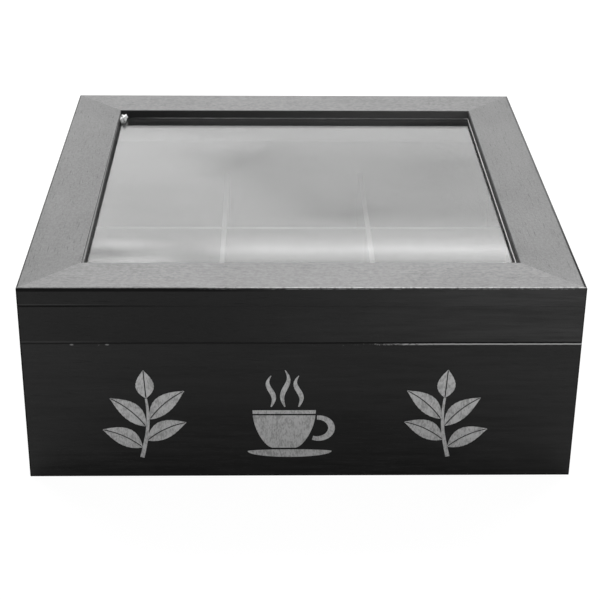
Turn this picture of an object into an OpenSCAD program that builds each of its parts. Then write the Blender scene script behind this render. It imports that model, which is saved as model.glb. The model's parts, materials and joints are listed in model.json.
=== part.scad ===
// Tea bag box: a square painted wooden box with nine compartments and a hinged lid with a glass window.
// Origin at the centre of the underside, +Z up, the front faces -Y. All sizes are in millimetres.
// The box and the lid have the same rabbeted corners, the lid's top is a mitred frame round the glass,
// and two stop hinges at the back hold the lid open just past upright.

/* [Box] */
// Width of the box, from side to side
box_w = 240; // [200:1:300]
// Depth of the box, from front to back
box_d = 240; // [200:1:300]
// Height of the box below the seam
body_h = 67.5; // [60:0.5:90]
// Thickness of the wall boards
wall_t = 8; // [7.5:0.5:10]
// Part of a front or back board's thickness that covers the end of a side board
corner_lip = 4; // [2:0.5:5]
// Bevel on the outer upright corners and along the top edges
edge_ease = 0.4; // [0.2:0.1:1]

/* [Bottom] */
// Thickness of the bottom panel
bottom_t = 3; // [2:0.5:5]
// Width of the rabbet that the bottom panel sits in
bottom_rabbet = 4; // [3:0.5:5]
// Gap between the bottom panel's edges and its rabbet
bottom_gap = 0.2; // [0.1:0.05:0.5]
// Brads along each side of the bottom panel
brads_per_side = 3; // [2:1:5]
// Distance between brads
brad_spacing = 46; // [20:1:48]
// Length of a brad with its head
brad_l = 12; // [8:0.5:18]
// Radius of a brad
brad_r = 0.5; // [0.4:0.1:0.8]
// Radius of a brad's head
brad_head_r = 1.0; // [0.9:0.1:1.4]
// Thickness of a brad's head
brad_head_t = 0.4; // [0.3:0.1:0.6]
// Depth that the brad heads are set into the underside
brad_set = 0.1; // [0.05:0.05:0.3]

/* [Dividers] */
// Thickness of the dividers
divider_t = 2.5; // [2:0.5:5]
// Height of the dividers
divider_h = 45; // [30:1:54]
// Gap between a divider's end and the wall
divider_gap = 0.2; // [0.1:0.05:0.5]
// Gap on each side of a divider in the other's slot
slot_gap = 0.1; // [0.05:0.05:0.3]

/* [Lid] */
// Height of the lid's wall boards
lid_wall_h = 17.5; // [14:0.5:40]
// Thickness of the mitred frame
frame_t = 8.5; // [7.5:0.5:12]
// Width of the frame's rails and stiles
frame_w = 25; // [20:0.5:36]
// Depth from the top of the frame to the glass
lip_t = 4.5; // [2:0.5:5]
// Width of the rabbet that the glass sits in
glass_rabbet = 6; // [4:0.5:9]
// Thickness of the glass
glass_t = 2; // [1:0.5:2]
// Gap between the edges of the glass and its rabbet
glass_gap = 0.5; // [0.1:0.1:1]
// Width of the glazing beads under the glass
bead_w = 5; // [2:0.5:6]
// Gap between a glazing bead and the rabbet's side
bead_gap = 0.1; // [0.05:0.05:0.4]

/* [Hinges] */
// Distance from the box's side to the middle of a hinge
hinge_inset = 50; // [30:1:70]
// Length of a hinge along the seam
hinge_l = 30; // [24:1:40]
// Angle through which the lid opens before the heels meet
open_angle = 95; // [90:1:110]
// Play left between the heels at that angle
stop_play = 0.6; // [0.4:0.1:2]
// Thickness of the leaf plates
leaf_t = 1.0; // [0.9:0.1:1.5]
// Width of a leaf plate on the edge of the board
leaf_w = 7; // [5.5:0.5:7.5]
// Depth that a leaf plate lies under the edge of its board
leaf_sink = 0.1; // [0.05:0.05:0.3]
// Gap round a leaf plate in its recess
recess_gap = 0.15; // [0.05:0.05:0.4]
// Number of knuckles on a hinge
knuckles = 5; // [3:2:7]
// Gap between two knuckles
knuckle_gap = 0.2; // [0.1:0.05:0.4]
// Radius of the knuckles
knuckle_r = 2.2; // [2:0.1:3]
// Gap between the knuckles and the back of the box
knuckle_stand = 0.3; // [0.2:0.1:1]
// Gap between a leaf and the other leaf's knuckles
knuckle_room = 0.15; // [0.1:0.05:0.2]
// Radius of the hinge pin
pin_r = 1.0; // [0.8:0.1:1.3]
// Radial clearance of the pin in the knuckles
pin_clear = 0.05; // [0.02:0.01:0.08]
// Radius of the pin's heads
pin_head_r = 1.5; // [1.4:0.1:2]
// Thickness of the pin's heads
pin_head_t = 0.5; // [0.3:0.1:1]
// Reach of a heel's stop face from the pin's axis
heel_reach = 4.2; // [3.6:0.1:5]
// Height of a heel above or below the pin's axis
heel_h = 4.6; // [4.2:0.1:6]
// Thickness of a heel at its far edge
heel_t = 1.2; // [0.8:0.1:2]

/* [Screws] */
// Distance between a leaf's two screws
screw_spacing = 18; // [12:1:19]
// Length of a screw with its head
screw_l = 9; // [6:0.5:12]
// Radius of a screw's shank
screw_r = 0.9; // [0.7:0.1:1]
// Radius of a screw's countersunk head
screw_head_r = 1.8; // [1.5:0.1:2]
// Height of a screw's countersunk head
screw_head_t = 0.8; // [0.5:0.1:0.8]
// Clearance round screws and brads in their holes
hole_gap = 0.05; // [0.02:0.01:0.1]

/* [Hidden] */

half_w = box_w / 2;
half_d = box_d / 2;
inner_w = box_w - 2 * wall_t;
inner_d = box_d - 2 * wall_t;
frame_z = body_h + lid_wall_h;
top_z = frame_z + frame_t;

// Both ways the box is divided into three equal compartments
compartments = 3;
divider_x = (inner_w + divider_t) / compartments / 2;
divider_y = (inner_d + divider_t) / compartments / 2;

// The glass is held up against the lip by beads that fill the rest of the rabbet
glass_z = top_z - lip_t - glass_t;
bead_h = frame_t - lip_t - glass_t;

// The hinge axis lies on the seam, just behind the back of the box
hinge_x = half_w - hinge_inset;
axis_out = knuckle_r + knuckle_stand;
axis_y = half_d + axis_out;
knuckle_pitch = (hinge_l + knuckle_gap) / knuckles;
knuckle_l = knuckle_pitch - knuckle_gap;
stop_angle = (open_angle + stop_play) / 2;

// Cutters run past the faces that they open
past = 1;

paint_black = "#262626";
paint_frame = "#303030";
paint_inside = "#1f1f1f";
panel_black = "#1a1a1a";
clear_glass = [0.75, 0.78, 0.78, 0.35];
nickel = "#b9b9b4";

$fn = 32;

// Copies a child to both sides of the middle plane
module both_sides() {
    children();
    mirror([1, 0, 0]) children();
}

// Turns an upright piece so that the front of the box becomes its left side
module to_left() {
    rotate([0, 0, -90]) children();
}

// Section given in depth and height, run along X and centred
module run_along_x(length) {
    translate([-length / 2, 0, 0])
        rotate([90, 0, 90])
            linear_extrude(length) children();
}

// Shank and countersunk head, pointing down, with the top of the head at the origin
module screw_shape(grow = 0) {
    translate([0, 0, -screw_head_t - grow])
        cylinder(h = screw_head_t + grow, r1 = screw_r + grow, r2 = screw_head_r + grow);
    translate([0, 0, -screw_l - grow])
        cylinder(h = screw_l, r = screw_r + grow);
}

// Two screws of one box leaf, in the hinge's own place
module leaf_screws(grow = 0) {
    for (side = [-1, 1])
        translate([side * screw_spacing / 2, -axis_out - leaf_w / 2, -leaf_sink])
            screw_shape(grow);
}

// Shank and flat head, pointing up from the underside
module brad_shape(grow = 0) {
    translate([0, 0, brad_set - grow])
        cylinder(h = brad_head_t + 2 * grow, r = brad_head_r + grow);
    translate([0, 0, brad_set])
        cylinder(h = brad_l + grow, r = brad_r + grow);
}

// The brads go through the bottom panel's border into the walls
module all_brads(grow = 0) {
    for (i = [0 : brads_per_side - 1], side = [-1, 1]) {
        along = (i - (brads_per_side - 1) / 2) * brad_spacing;
        translate([side * (half_w - wall_t + bottom_rabbet / 2), along, 0]) brad_shape(grow);
        translate([along, side * (half_d - wall_t + bottom_rabbet / 2), 0]) brad_shape(grow);
    }
}

// Puts a left and a right hinge's child on the hinge axis
module at_hinge(side) {
    translate([side * hinge_x, axis_y, body_h]) children();
}

// Recess in the edge of a back board for a leaf plate, open to the back
module leaf_recess() {
    depth = leaf_t + leaf_sink;
    translate([-hinge_l / 2 - recess_gap, -axis_out - leaf_w - recess_gap, -depth])
        cube([hinge_l + 2 * recess_gap, leaf_w + recess_gap + past, depth + past]);
}

// Full-width board for the front: outer face at the front, ends rabbeted for the side boards
module wide_board(height) {
    translate([0, -half_d, 0])
        linear_extrude(height)
            polygon([
                [-half_w + edge_ease, 0],
                [half_w - edge_ease, 0],
                [half_w, edge_ease],
                [half_w, corner_lip],
                [half_w - wall_t, corner_lip],
                [half_w - wall_t, wall_t],
                [-half_w + wall_t, wall_t],
                [-half_w + wall_t, corner_lip],
                [-half_w, corner_lip],
                [-half_w, edge_ease]
            ]);
}

// Side board for the left, held between the lips of the front and back boards
module side_board(height) {
    translate([-half_w, -half_d + corner_lip, 0])
        cube([wall_t, box_d - 2 * corner_lip, height]);
}

// Room under the walls for the bottom panel
module bottom_seat() {
    seat_w = inner_w + 2 * bottom_rabbet;
    seat_d = inner_d + 2 * bottom_rabbet;
    translate([-seat_w / 2, -seat_d / 2, -past])
        cube([seat_w, seat_d, bottom_t + past]);
}

module front_wall() {
    color(paint_black)
        difference() {
            wide_board(body_h);
            bottom_seat();
            all_brads(hole_gap);
        }
}

module back_wall() {
    color(paint_black)
        difference() {
            mirror([0, 1, 0]) wide_board(body_h);
            bottom_seat();
            all_brads(hole_gap);
            both_sides() at_hinge(1) {
                leaf_recess();
                leaf_screws(hole_gap);
            }
        }
}

module left_wall() {
    color(paint_black)
        difference() {
            side_board(body_h);
            bottom_seat();
            all_brads(hole_gap);
        }
}

module right_wall() {
    mirror([1, 0, 0]) left_wall();
}

module bottom_panel() {
    panel_w = inner_w + 2 * (bottom_rabbet - bottom_gap);
    panel_d = inner_d + 2 * (bottom_rabbet - bottom_gap);
    color(panel_black)
        difference() {
            translate([-panel_w / 2, -panel_d / 2, 0])
                cube([panel_w, panel_d, bottom_t]);
            all_brads(hole_gap);
        }
}

module bottom_brads() {
    color(nickel) all_brads();
}

// Slot across a divider where the other pair passes through
module halving_slot(from_z) {
    slot_w = divider_t + 2 * slot_gap;
    translate([-slot_w / 2, -slot_w / 2, from_z])
        cube([slot_w, slot_w, divider_h / 2 + past]);
}

// Divider from side to side, slotted from the top
module crosswise_divider() {
    length = inner_w - 2 * divider_gap;
    color(paint_inside)
        difference() {
            translate([-length / 2, -divider_t / 2, bottom_t])
                cube([length, divider_t, divider_h]);
            both_sides() translate([divider_x, 0, 0]) halving_slot(bottom_t + divider_h / 2);
        }
}

// Divider from front to back, slotted from below
module lengthwise_divider() {
    length = inner_d - 2 * divider_gap;
    color(paint_inside)
        difference() {
            translate([-divider_t / 2, -length / 2, bottom_t])
                cube([divider_t, length, divider_h]);
            for (side = [-1, 1])
                translate([0, side * divider_y, 0]) halving_slot(bottom_t - past);
        }
}

module front_divider() {
    translate([0, -divider_y, 0]) crosswise_divider();
}

module rear_divider() {
    translate([0, divider_y, 0]) crosswise_divider();
}

module left_divider() {
    translate([-divider_x, 0, 0]) lengthwise_divider();
}

module right_divider() {
    translate([divider_x, 0, 0]) lengthwise_divider();
}

module lid_front_wall() {
    color(paint_black) translate([0, 0, body_h]) wide_board(lid_wall_h);
}

module lid_back_wall() {
    color(paint_black)
        difference() {
            translate([0, 0, body_h]) mirror([0, 1, 0]) wide_board(lid_wall_h);
            both_sides() at_hinge(1) mirror([0, 0, 1]) {
                leaf_recess();
                leaf_screws(hole_gap);
            }
        }
}

module lid_left_wall() {
    color(paint_black) translate([0, 0, body_h]) side_board(lid_wall_h);
}

module lid_right_wall() {
    mirror([1, 0, 0]) lid_left_wall();
}

// Plan of a strip along the front of a rectangle, mitred at both ends; the eased corners are shared
module mitred_plan(length, width, ease = 0) {
    polygon([
        [-length / 2 + ease / 2, ease / 2],
        [-length / 2 + ease, 0],
        [length / 2 - ease, 0],
        [length / 2 - ease / 2, ease / 2],
        [length / 2 - width, width],
        [-length / 2 + width, width]
    ]);
}

// Frame member with its outer edge at the front, rabbeted below for the glass
module frame_member(length) {
    color(paint_frame)
        intersection() {
            run_along_x(length)
                polygon([
                    [0, 0],
                    [frame_w - glass_rabbet, 0],
                    [frame_w - glass_rabbet, frame_t - lip_t],
                    [frame_w, frame_t - lip_t],
                    [frame_w, frame_t - edge_ease],
                    [frame_w - edge_ease, frame_t],
                    [edge_ease, frame_t],
                    [0, frame_t - edge_ease]
                ]);
            linear_extrude(frame_t) mitred_plan(length, frame_w, edge_ease);
        }
}

module frame_front_rail() {
    translate([0, -half_d, frame_z]) frame_member(box_w);
}

module frame_back_rail() {
    mirror([0, 1, 0]) frame_front_rail();
}

module frame_left_stile() {
    translate([-half_w, 0, frame_z]) to_left() frame_member(box_d);
}

module frame_right_stile() {
    mirror([1, 0, 0]) frame_left_stile();
}

module window_glass() {
    reach = glass_rabbet - glass_gap - frame_w;
    glass_w = box_w + 2 * reach;
    glass_d = box_d + 2 * reach;
    color(clear_glass)
        translate([-glass_w / 2, -glass_d / 2, glass_z])
            cube([glass_w, glass_d, glass_t]);
}

// Square strip under the glass, mitred like the frame
module glazing_bead(length) {
    color(paint_frame)
        linear_extrude(bead_h) mitred_plan(length, bead_w);
}

// Distance from the frame's outer edge to the beads' outer faces
bead_in = frame_w - glass_rabbet + bead_gap;

module front_glazing_bead() {
    translate([0, -half_d + bead_in, frame_z]) glazing_bead(box_w - 2 * bead_in);
}

module back_glazing_bead() {
    mirror([0, 1, 0]) front_glazing_bead();
}

module left_glazing_bead() {
    translate([-half_w + bead_in, 0, frame_z]) to_left() glazing_bead(box_d - 2 * bead_in);
}

module right_glazing_bead() {
    mirror([1, 0, 0]) left_glazing_bead();
}

// Round bar on the hinge axis, from one place along it to another
module axis_bar(from_x, to_x, r) {
    translate([from_x, 0, 0])
        rotate([0, 90, 0])
            cylinder(h = to_x - from_x, r = r);
}

// Where knuckle i begins, counted from one end of the hinge
function knuckle_x(i) = -hinge_l / 2 + i * knuckle_pitch;

// Hinge leaf on the hinge axis, for the box: plate on the seam, heel below, and every second knuckle.
// The heel's sloping face stops the other leaf's heel when the lid is open.
module hinge_leaf(first_own) {
    first_other = 1 - first_own;
    color(nickel)
        difference() {
            union() {
                translate([-hinge_l / 2, -axis_out - leaf_w, -leaf_sink - leaf_t])
                    cube([hinge_l, leaf_w + axis_out, leaf_t]);
                run_along_x(hinge_l)
                    polygon([
                        [0, 0],
                        [-axis_out, -leaf_sink],
                        [-axis_out, -heel_h],
                        [-axis_out + heel_t, -heel_h],
                        [heel_reach * cos(stop_angle), -heel_reach * sin(stop_angle)]
                    ]);
                for (i = [first_own : 2 : knuckles - 1])
                    axis_bar(knuckle_x(i), knuckle_x(i) + knuckle_l, knuckle_r);
            }
            for (i = [first_other : 2 : knuckles - 1])
                axis_bar(knuckle_x(i) - knuckle_gap, knuckle_x(i) + knuckle_l + knuckle_gap,
                         knuckle_r + knuckle_room);
            axis_bar(-hinge_l, hinge_l, pin_r + pin_clear);
            leaf_screws(hole_gap);
        }
}

module right_hinge_box_leaf() {
    at_hinge(1) hinge_leaf(0);
}

module left_hinge_box_leaf() {
    at_hinge(-1) hinge_leaf(0);
}

module right_hinge_lid_leaf() {
    at_hinge(1) mirror([0, 0, 1]) hinge_leaf(1);
}

module left_hinge_lid_leaf() {
    at_hinge(-1) mirror([0, 0, 1]) hinge_leaf(1);
}

module hinge_pin() {
    pin_end = hinge_l / 2 + pin_clear;
    color(nickel) {
        axis_bar(-pin_end, pin_end, pin_r);
        both_sides() axis_bar(pin_end, pin_end + pin_head_t, pin_head_r);
    }
}

module left_hinge_pin() {
    at_hinge(-1) hinge_pin();
}

module right_hinge_pin() {
    at_hinge(1) hinge_pin();
}

module hinge_box_screws() {
    color(nickel) both_sides() at_hinge(1) leaf_screws();
}

module hinge_lid_screws() {
    color(nickel) both_sides() at_hinge(1) mirror([0, 0, 1]) leaf_screws();
}

front_wall();
back_wall();
left_wall();
right_wall();
bottom_panel();
bottom_brads();
front_divider();
rear_divider();
left_divider();
right_divider();
lid_front_wall();
lid_back_wall();
lid_left_wall();
lid_right_wall();
frame_front_rail();
frame_back_rail();
frame_left_stile();
frame_right_stile();
window_glass();
front_glazing_bead();
back_glazing_bead();
left_glazing_bead();
right_glazing_bead();
left_hinge_box_leaf();
right_hinge_box_leaf();
left_hinge_lid_leaf();
right_hinge_lid_leaf();
left_hinge_pin();
right_hinge_pin();
hinge_box_screws();
hinge_lid_screws();
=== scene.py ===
"""Looks of a tea bag box with a hinged glass lid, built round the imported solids.

Lengths are in metres. Each wooden node is shown by a dressed copy with eased edges, and the window, the
hinges, the fasteners and the silver motifs on the front have pieces and finishes of their own.
"""
import json
import logging
import math
from dataclasses import asdict, dataclass, replace
from enum import Enum
from functools import partial, reduce
from typing import Any, Callable, Sequence

import bmesh
import bpy
from bmesh.types import BMesh
from bpy.types import Material, Mesh, Node, NodeOutputs, NodeSocket, NodeTree, Object
from mathutils import Matrix, Vector, noise

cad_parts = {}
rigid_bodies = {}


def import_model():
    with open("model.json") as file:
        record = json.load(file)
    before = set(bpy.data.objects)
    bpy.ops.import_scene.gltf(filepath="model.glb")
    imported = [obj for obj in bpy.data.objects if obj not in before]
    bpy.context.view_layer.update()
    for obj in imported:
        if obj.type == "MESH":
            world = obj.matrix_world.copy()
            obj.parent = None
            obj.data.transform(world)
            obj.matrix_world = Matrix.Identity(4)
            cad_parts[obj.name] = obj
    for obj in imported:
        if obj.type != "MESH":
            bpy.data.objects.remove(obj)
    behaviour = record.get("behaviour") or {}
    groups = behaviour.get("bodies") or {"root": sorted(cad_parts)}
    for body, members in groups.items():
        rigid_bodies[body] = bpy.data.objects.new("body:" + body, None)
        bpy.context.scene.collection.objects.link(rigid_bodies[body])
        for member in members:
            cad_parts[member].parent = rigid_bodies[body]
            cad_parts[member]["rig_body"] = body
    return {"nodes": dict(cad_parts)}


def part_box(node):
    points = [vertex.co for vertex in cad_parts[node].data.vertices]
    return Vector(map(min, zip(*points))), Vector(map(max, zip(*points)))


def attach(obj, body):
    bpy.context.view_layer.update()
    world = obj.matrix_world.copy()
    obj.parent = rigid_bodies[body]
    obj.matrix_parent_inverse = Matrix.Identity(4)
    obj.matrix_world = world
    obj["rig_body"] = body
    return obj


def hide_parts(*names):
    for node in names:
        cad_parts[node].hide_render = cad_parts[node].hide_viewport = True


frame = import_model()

log = logging.getLogger("tea_box")

MM = 0.001
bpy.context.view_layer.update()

Colour = tuple[float, float, float, float]
Span = tuple[float, float]
Point2 = tuple[float, float]
Shape2 = list[Point2]


def colour(red: float, green: float, blue: float) -> Colour:
    """Returns an opaque colour of linear levels."""
    return (red, green, blue, 1.0)


def grey(level: float) -> Colour:
    """Returns a neutral colour of one linear level."""
    return colour(level, level, level)


def smooth_step(x: float) -> float:
    """Returns x eased between 0 and 1."""
    x = min(max(x, 0.0), 1.0)
    return x * x * (3 - 2 * x)


def shares(steps: int) -> list[float]:
    """Returns even steps from 0 to 1, with both ends."""
    return [i / steps for i in range(steps + 1)]


class Graph:
    """A node tree that is filled by short calls."""

    def __init__(self, tree: NodeTree) -> None:
        """Keeps the tree that the calls fill."""
        self.tree = tree

    def fill(self, node: Node, inputs: dict[str | int, Any]) -> Node:
        """Sets a node's inputs.

        Args:
            node: the node.
            inputs: a value, or a socket to link from, for each named or numbered input.

        Returns:
            The node.
        """
        for key, value in inputs.items():
            if isinstance(value, NodeSocket):
                self.tree.links.new(value, node.inputs[key])
            else:
                node.inputs[key].default_value = value
        return node

    def add(self, kind: str, inputs: dict[str | int, Any] | None = None, **settings: Any) -> Node:
        """Adds a node.

        Args:
            kind: the node's type name.
            inputs: a value, or a socket to link from, for each named or numbered input.
            settings: the node's own properties.

        Returns:
            The new node.
        """
        node = self.tree.nodes.new(kind)
        for name, value in settings.items():
            setattr(node, name, value)
        return self.fill(node, inputs or {})

    def math(self, operation: str, *values: Any) -> NodeSocket:
        """Returns the result of a Math node on numbers or sockets."""
        return self.add("ShaderNodeMath", dict(enumerate(values)), operation=operation).outputs[0]

    def vector_math(self, operation: str, *values: Any) -> NodeSocket:
        """Returns the result of a Vector Math node on vectors or sockets."""
        return self.add("ShaderNodeVectorMath", dict(enumerate(values)), operation=operation).outputs[0]

    def product(self, *values: Any) -> NodeSocket:
        """Returns the product of numbers or sockets, as a mask where every mask holds."""
        return reduce(partial(self.math, "MULTIPLY"), values)

    def most(self, *values: Any) -> NodeSocket:
        """Returns the greatest of numbers or sockets, as a mask where any mask holds."""
        return reduce(partial(self.math, "MAXIMUM"), values)

    def scaled(self, value: Any, gain: Any, base: Any) -> NodeSocket:
        """Returns value times gain, plus base."""
        return self.math("MULTIPLY_ADD", value, gain, base)

    def less(self, value: Any, taken: Any) -> NodeSocket:
        """Returns value minus what is taken from it."""
        return self.math("SUBTRACT", value, taken)

    def blend(self, first: Any, share: float, second: Any, other: float) -> NodeSocket:
        """Returns the sum of two values, each times a share of its own."""
        return self.math("ADD", self.product(first, share), self.product(second, other))

    def ramp(self, value: Any, low: float, high: float, to_low: float = 0.0,
             to_high: float = 1.0) -> NodeSocket:
        """Returns value mapped smoothly from low..high to to_low..to_high."""
        sockets = {0: value, 1: low, 2: high, 3: to_low, 4: to_high}
        return self.add("ShaderNodeMapRange", sockets, interpolation_type="SMOOTHSTEP").outputs[0]

    def fade(self, value: Any, low: float, high: float, most: float = 1.0) -> NodeSocket:
        """Returns a mask that falls from most to 0 as value goes from low to high."""
        return self.ramp(value, low, high, most, 0.0)

    def within(self, value: Any, low: float, high: float, soft: float) -> NodeSocket:
        """Marks a stretch of a value with soft ends.

        Args:
            value: the value.
            low: where the stretch starts.
            high: where it ends.
            soft: the width of each soft end, outside the stretch.

        Returns:
            The mask's socket, 1 inside and 0 outside.
        """
        over = self.ramp(self.less(value, low), -soft, 0.0)
        return self.product(over, self.fade(self.less(value, high), 0.0, soft))

    def mix(self, share: Any, first: Any, second: Any) -> NodeSocket:
        """Returns a colour that goes from first to second as share goes from 0 to 1."""
        return self.add("ShaderNodeMix", {0: share, 6: first, 7: second}, data_type="RGBA").outputs[2]

    def noise(self, place: Any, scale: float, detail: float = 2.0, roughness: float = 0.5,
              stretch: tuple[float, float, float] | None = None) -> NodeSocket:
        """Makes a noise value from 0 to 1.

        Args:
            place: where it is read.
            scale: how fine it is.
            detail: how many finer layers it has.
            roughness: how strong those are.
            stretch: what the place's X, Y and Z are multiplied by first.

        Returns:
            The value's socket.
        """
        if stretch:
            place = self.vector_math("MULTIPLY", place, stretch)
        sockets = {"Vector": place, "Scale": scale, "Detail": detail, "Roughness": roughness}
        return self.add("ShaderNodeTexNoise", sockets).outputs[0]

    def split(self, vector: Any) -> NodeOutputs:
        """Returns the X, Y and Z of a vector."""
        return self.add("ShaderNodeSeparateXYZ", {0: vector}).outputs

    def join(self, x: Any = 0.0, y: Any = 0.0, z: Any = 0.0) -> NodeSocket:
        """Returns a vector of three numbers or sockets."""
        return self.add("ShaderNodeCombineXYZ", {0: x, 1: y, 2: z}).outputs[0]

    def even(self, tone: NodeSocket) -> NodeSocket:
        """Returns one number as all three parts of a vector or a colour."""
        return self.join(tone, tone, tone)

    def length(self, vector: Any) -> NodeSocket:
        """Returns the length of a vector."""
        return self.add("ShaderNodeVectorMath", {0: vector}, operation="LENGTH").outputs["Value"]

    def place(self) -> NodeSocket:
        """Returns the object coordinates."""
        return self.add("ShaderNodeTexCoord").outputs["Object"]

    def attribute(self, name: str) -> NodeSocket:
        """Returns a face attribute's value."""
        return self.add("ShaderNodeAttribute", attribute_name=name).outputs["Fac"]

    def bump(self, height: Any, strength: float, distance: float) -> NodeSocket:
        """Returns the normal of a relief that is distance deep at full strength."""
        sockets = {"Height": height, "Strength": strength, "Distance": distance}
        return self.add("ShaderNodeBump", sockets).outputs["Normal"]

    def group(self, tree: NodeTree, inputs: dict[str | int, Any]) -> NodeOutputs:
        """Adds a node group with its inputs and returns its outputs."""
        return self.add("ShaderNodeGroup", inputs, node_tree=tree).outputs


def new_group(name: str, inputs: dict[str, float],
              results: Sequence[str]) -> tuple[Graph, NodeOutputs, Node]:
    """Makes an empty shader node group that reads a place and numbers, and puts out numbers.

    Args:
        name: the group's name.
        inputs: the default of each number that it reads.
        results: the name of each number that it puts out.

    Returns:
        The graph, what the group is given, and the node that takes its results.
    """
    tree = bpy.data.node_groups.new(name, "ShaderNodeTree")
    tree.interface.new_socket("Place", in_out="INPUT", socket_type="NodeSocketVector")
    for label, default in inputs.items():
        socket = tree.interface.new_socket(label, in_out="INPUT", socket_type="NodeSocketFloat")
        socket.default_value = default
    for label in results:
        tree.interface.new_socket(label, in_out="OUTPUT", socket_type="NodeSocketFloat")
    graph = Graph(tree)
    return graph, graph.add("NodeGroupInput").outputs, graph.add("NodeGroupOutput")


def grain_group() -> NodeTree:
    """Builds the grain that shows through thin paint: soft streaks along X, short pores and fine speckle.

    Returns:
        The node group.
    """
    graph, given, leave = new_group(
        "painted_grain", {"Streaks per Metre": 420.0, "Stretch": 14.0, "Pore Depth": 0.5},
        ("Streaks", "Pores", "Speckle", "Height"))
    rate = given["Streaks per Metre"]
    place = graph.vector_math("MULTIPLY", given["Place"], graph.join(
        graph.math("DIVIDE", rate, given["Stretch"]), rate, rate))
    streaks = graph.noise(place, 1.0, 4.0, 0.6)
    bands = graph.noise(place, 0.12)
    fibres = graph.noise(place, 5.0, 2.0, 0.6)
    pores = graph.ramp(graph.noise(place, 1.0, 1.0, stretch=(3.5, 5.5, 5.5)), 0.64, 0.74)
    speckle = graph.noise(given["Place"], 900.0, 4.0, 0.75, stretch=(0.6, 1.0, 1.0))
    relief = graph.scaled(speckle, 0.35, graph.blend(streaks, 0.45, fibres, 0.3))
    graph.fill(leave, {
        "Streaks": graph.ramp(graph.blend(streaks, 0.6, bands, 0.4), 0.3, 0.7),
        "Pores": pores,
        "Speckle": graph.ramp(speckle, 0.3, 0.7),
        "Height": graph.less(relief, graph.product(pores, given["Pore Depth"])),
    })
    return graph.tree


def wear_group() -> NodeTree:
    """Builds the wear along arrises: broken rubs that close up as the Arris value nears 1.

    Returns:
        The node group.
    """
    graph, given, leave = new_group("arris_wear", {"Arris": 0.0, "Amount": 0.6}, ("Mask",))
    coarse = graph.noise(given["Place"], 90.0, 3.0, 0.6)
    fine = graph.noise(given["Place"], 1300.0, 2.0, 0.7)
    field = graph.blend(coarse, 0.55, fine, 0.45)
    pull = graph.product(given["Amount"], given["Arris"])
    rubbed = graph.ramp(graph.less(field, graph.less(0.72, graph.product(pull, 0.4))), 0.0, 0.06)
    graph.fill(leave, {"Mask": graph.product(rubbed, graph.ramp(given["Arris"], 0.0, 0.1))})
    return graph.tree


def dust_group() -> NodeTree:
    """Builds soft cloudy variation and fine dust specks.

    Returns:
        The node group.
    """
    graph, given, leave = new_group("handling_dust", {"Cloud Size": 0.06}, ("Clouds", "Specks"))
    clouds = graph.vector_math("DIVIDE", given["Place"], graph.even(given["Cloud Size"]))
    specks = graph.add("ShaderNodeTexVoronoi", {"Vector": given["Place"], "Scale": 700.0}).outputs["Distance"]
    graph.fill(leave, {"Clouds": graph.ramp(graph.noise(clouds, 1.0, 3.0), 0.3, 0.7),
                       "Specks": graph.fade(specks, 0.02, 0.09)})
    return graph.tree


def brushed_group() -> NodeTree:
    """Builds fine brush lines along X for plated metal.

    Returns:
        The node group.
    """
    graph, given, leave = new_group("brush_lines", {"Lines per Metre": 9000.0}, ("Lines",))
    rate = given["Lines per Metre"]
    scale = graph.join(graph.math("DIVIDE", rate, 45.0), rate, rate)
    graph.fill(leave, {"Lines": graph.noise(graph.vector_math("MULTIPLY", given["Place"], scale), 1.0)})
    return graph.tree


@dataclass(frozen=True)
class FrontPlace:
    """Sockets that say where a place lies on the front, from each plane that a mark follows."""

    across: NodeSocket
    height: NodeSocket
    depth: NodeSocket
    above_seam: NodeSocket
    above_joint: NodeSocket
    under_top: NodeSocket
    broken: NodeSocket
    on_front: NodeSocket
    on_top: NodeSocket
    at_brim: NodeSocket


@dataclass(frozen=True)
class Line:
    """A soft line along the front: where it lies from its plane, and its levels at a stretch's two ends."""

    low: float
    high: float
    soft: float
    stretch: Span
    levels: Span

    def mask(self, graph: Graph, height: NodeSocket, across: NodeSocket) -> NodeSocket:
        """Returns the line's mask from the height over its plane and the place across the front."""
        return graph.product(graph.within(height, self.low, self.high, self.soft),
                             graph.ramp(across, *self.stretch, *self.levels))


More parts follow.
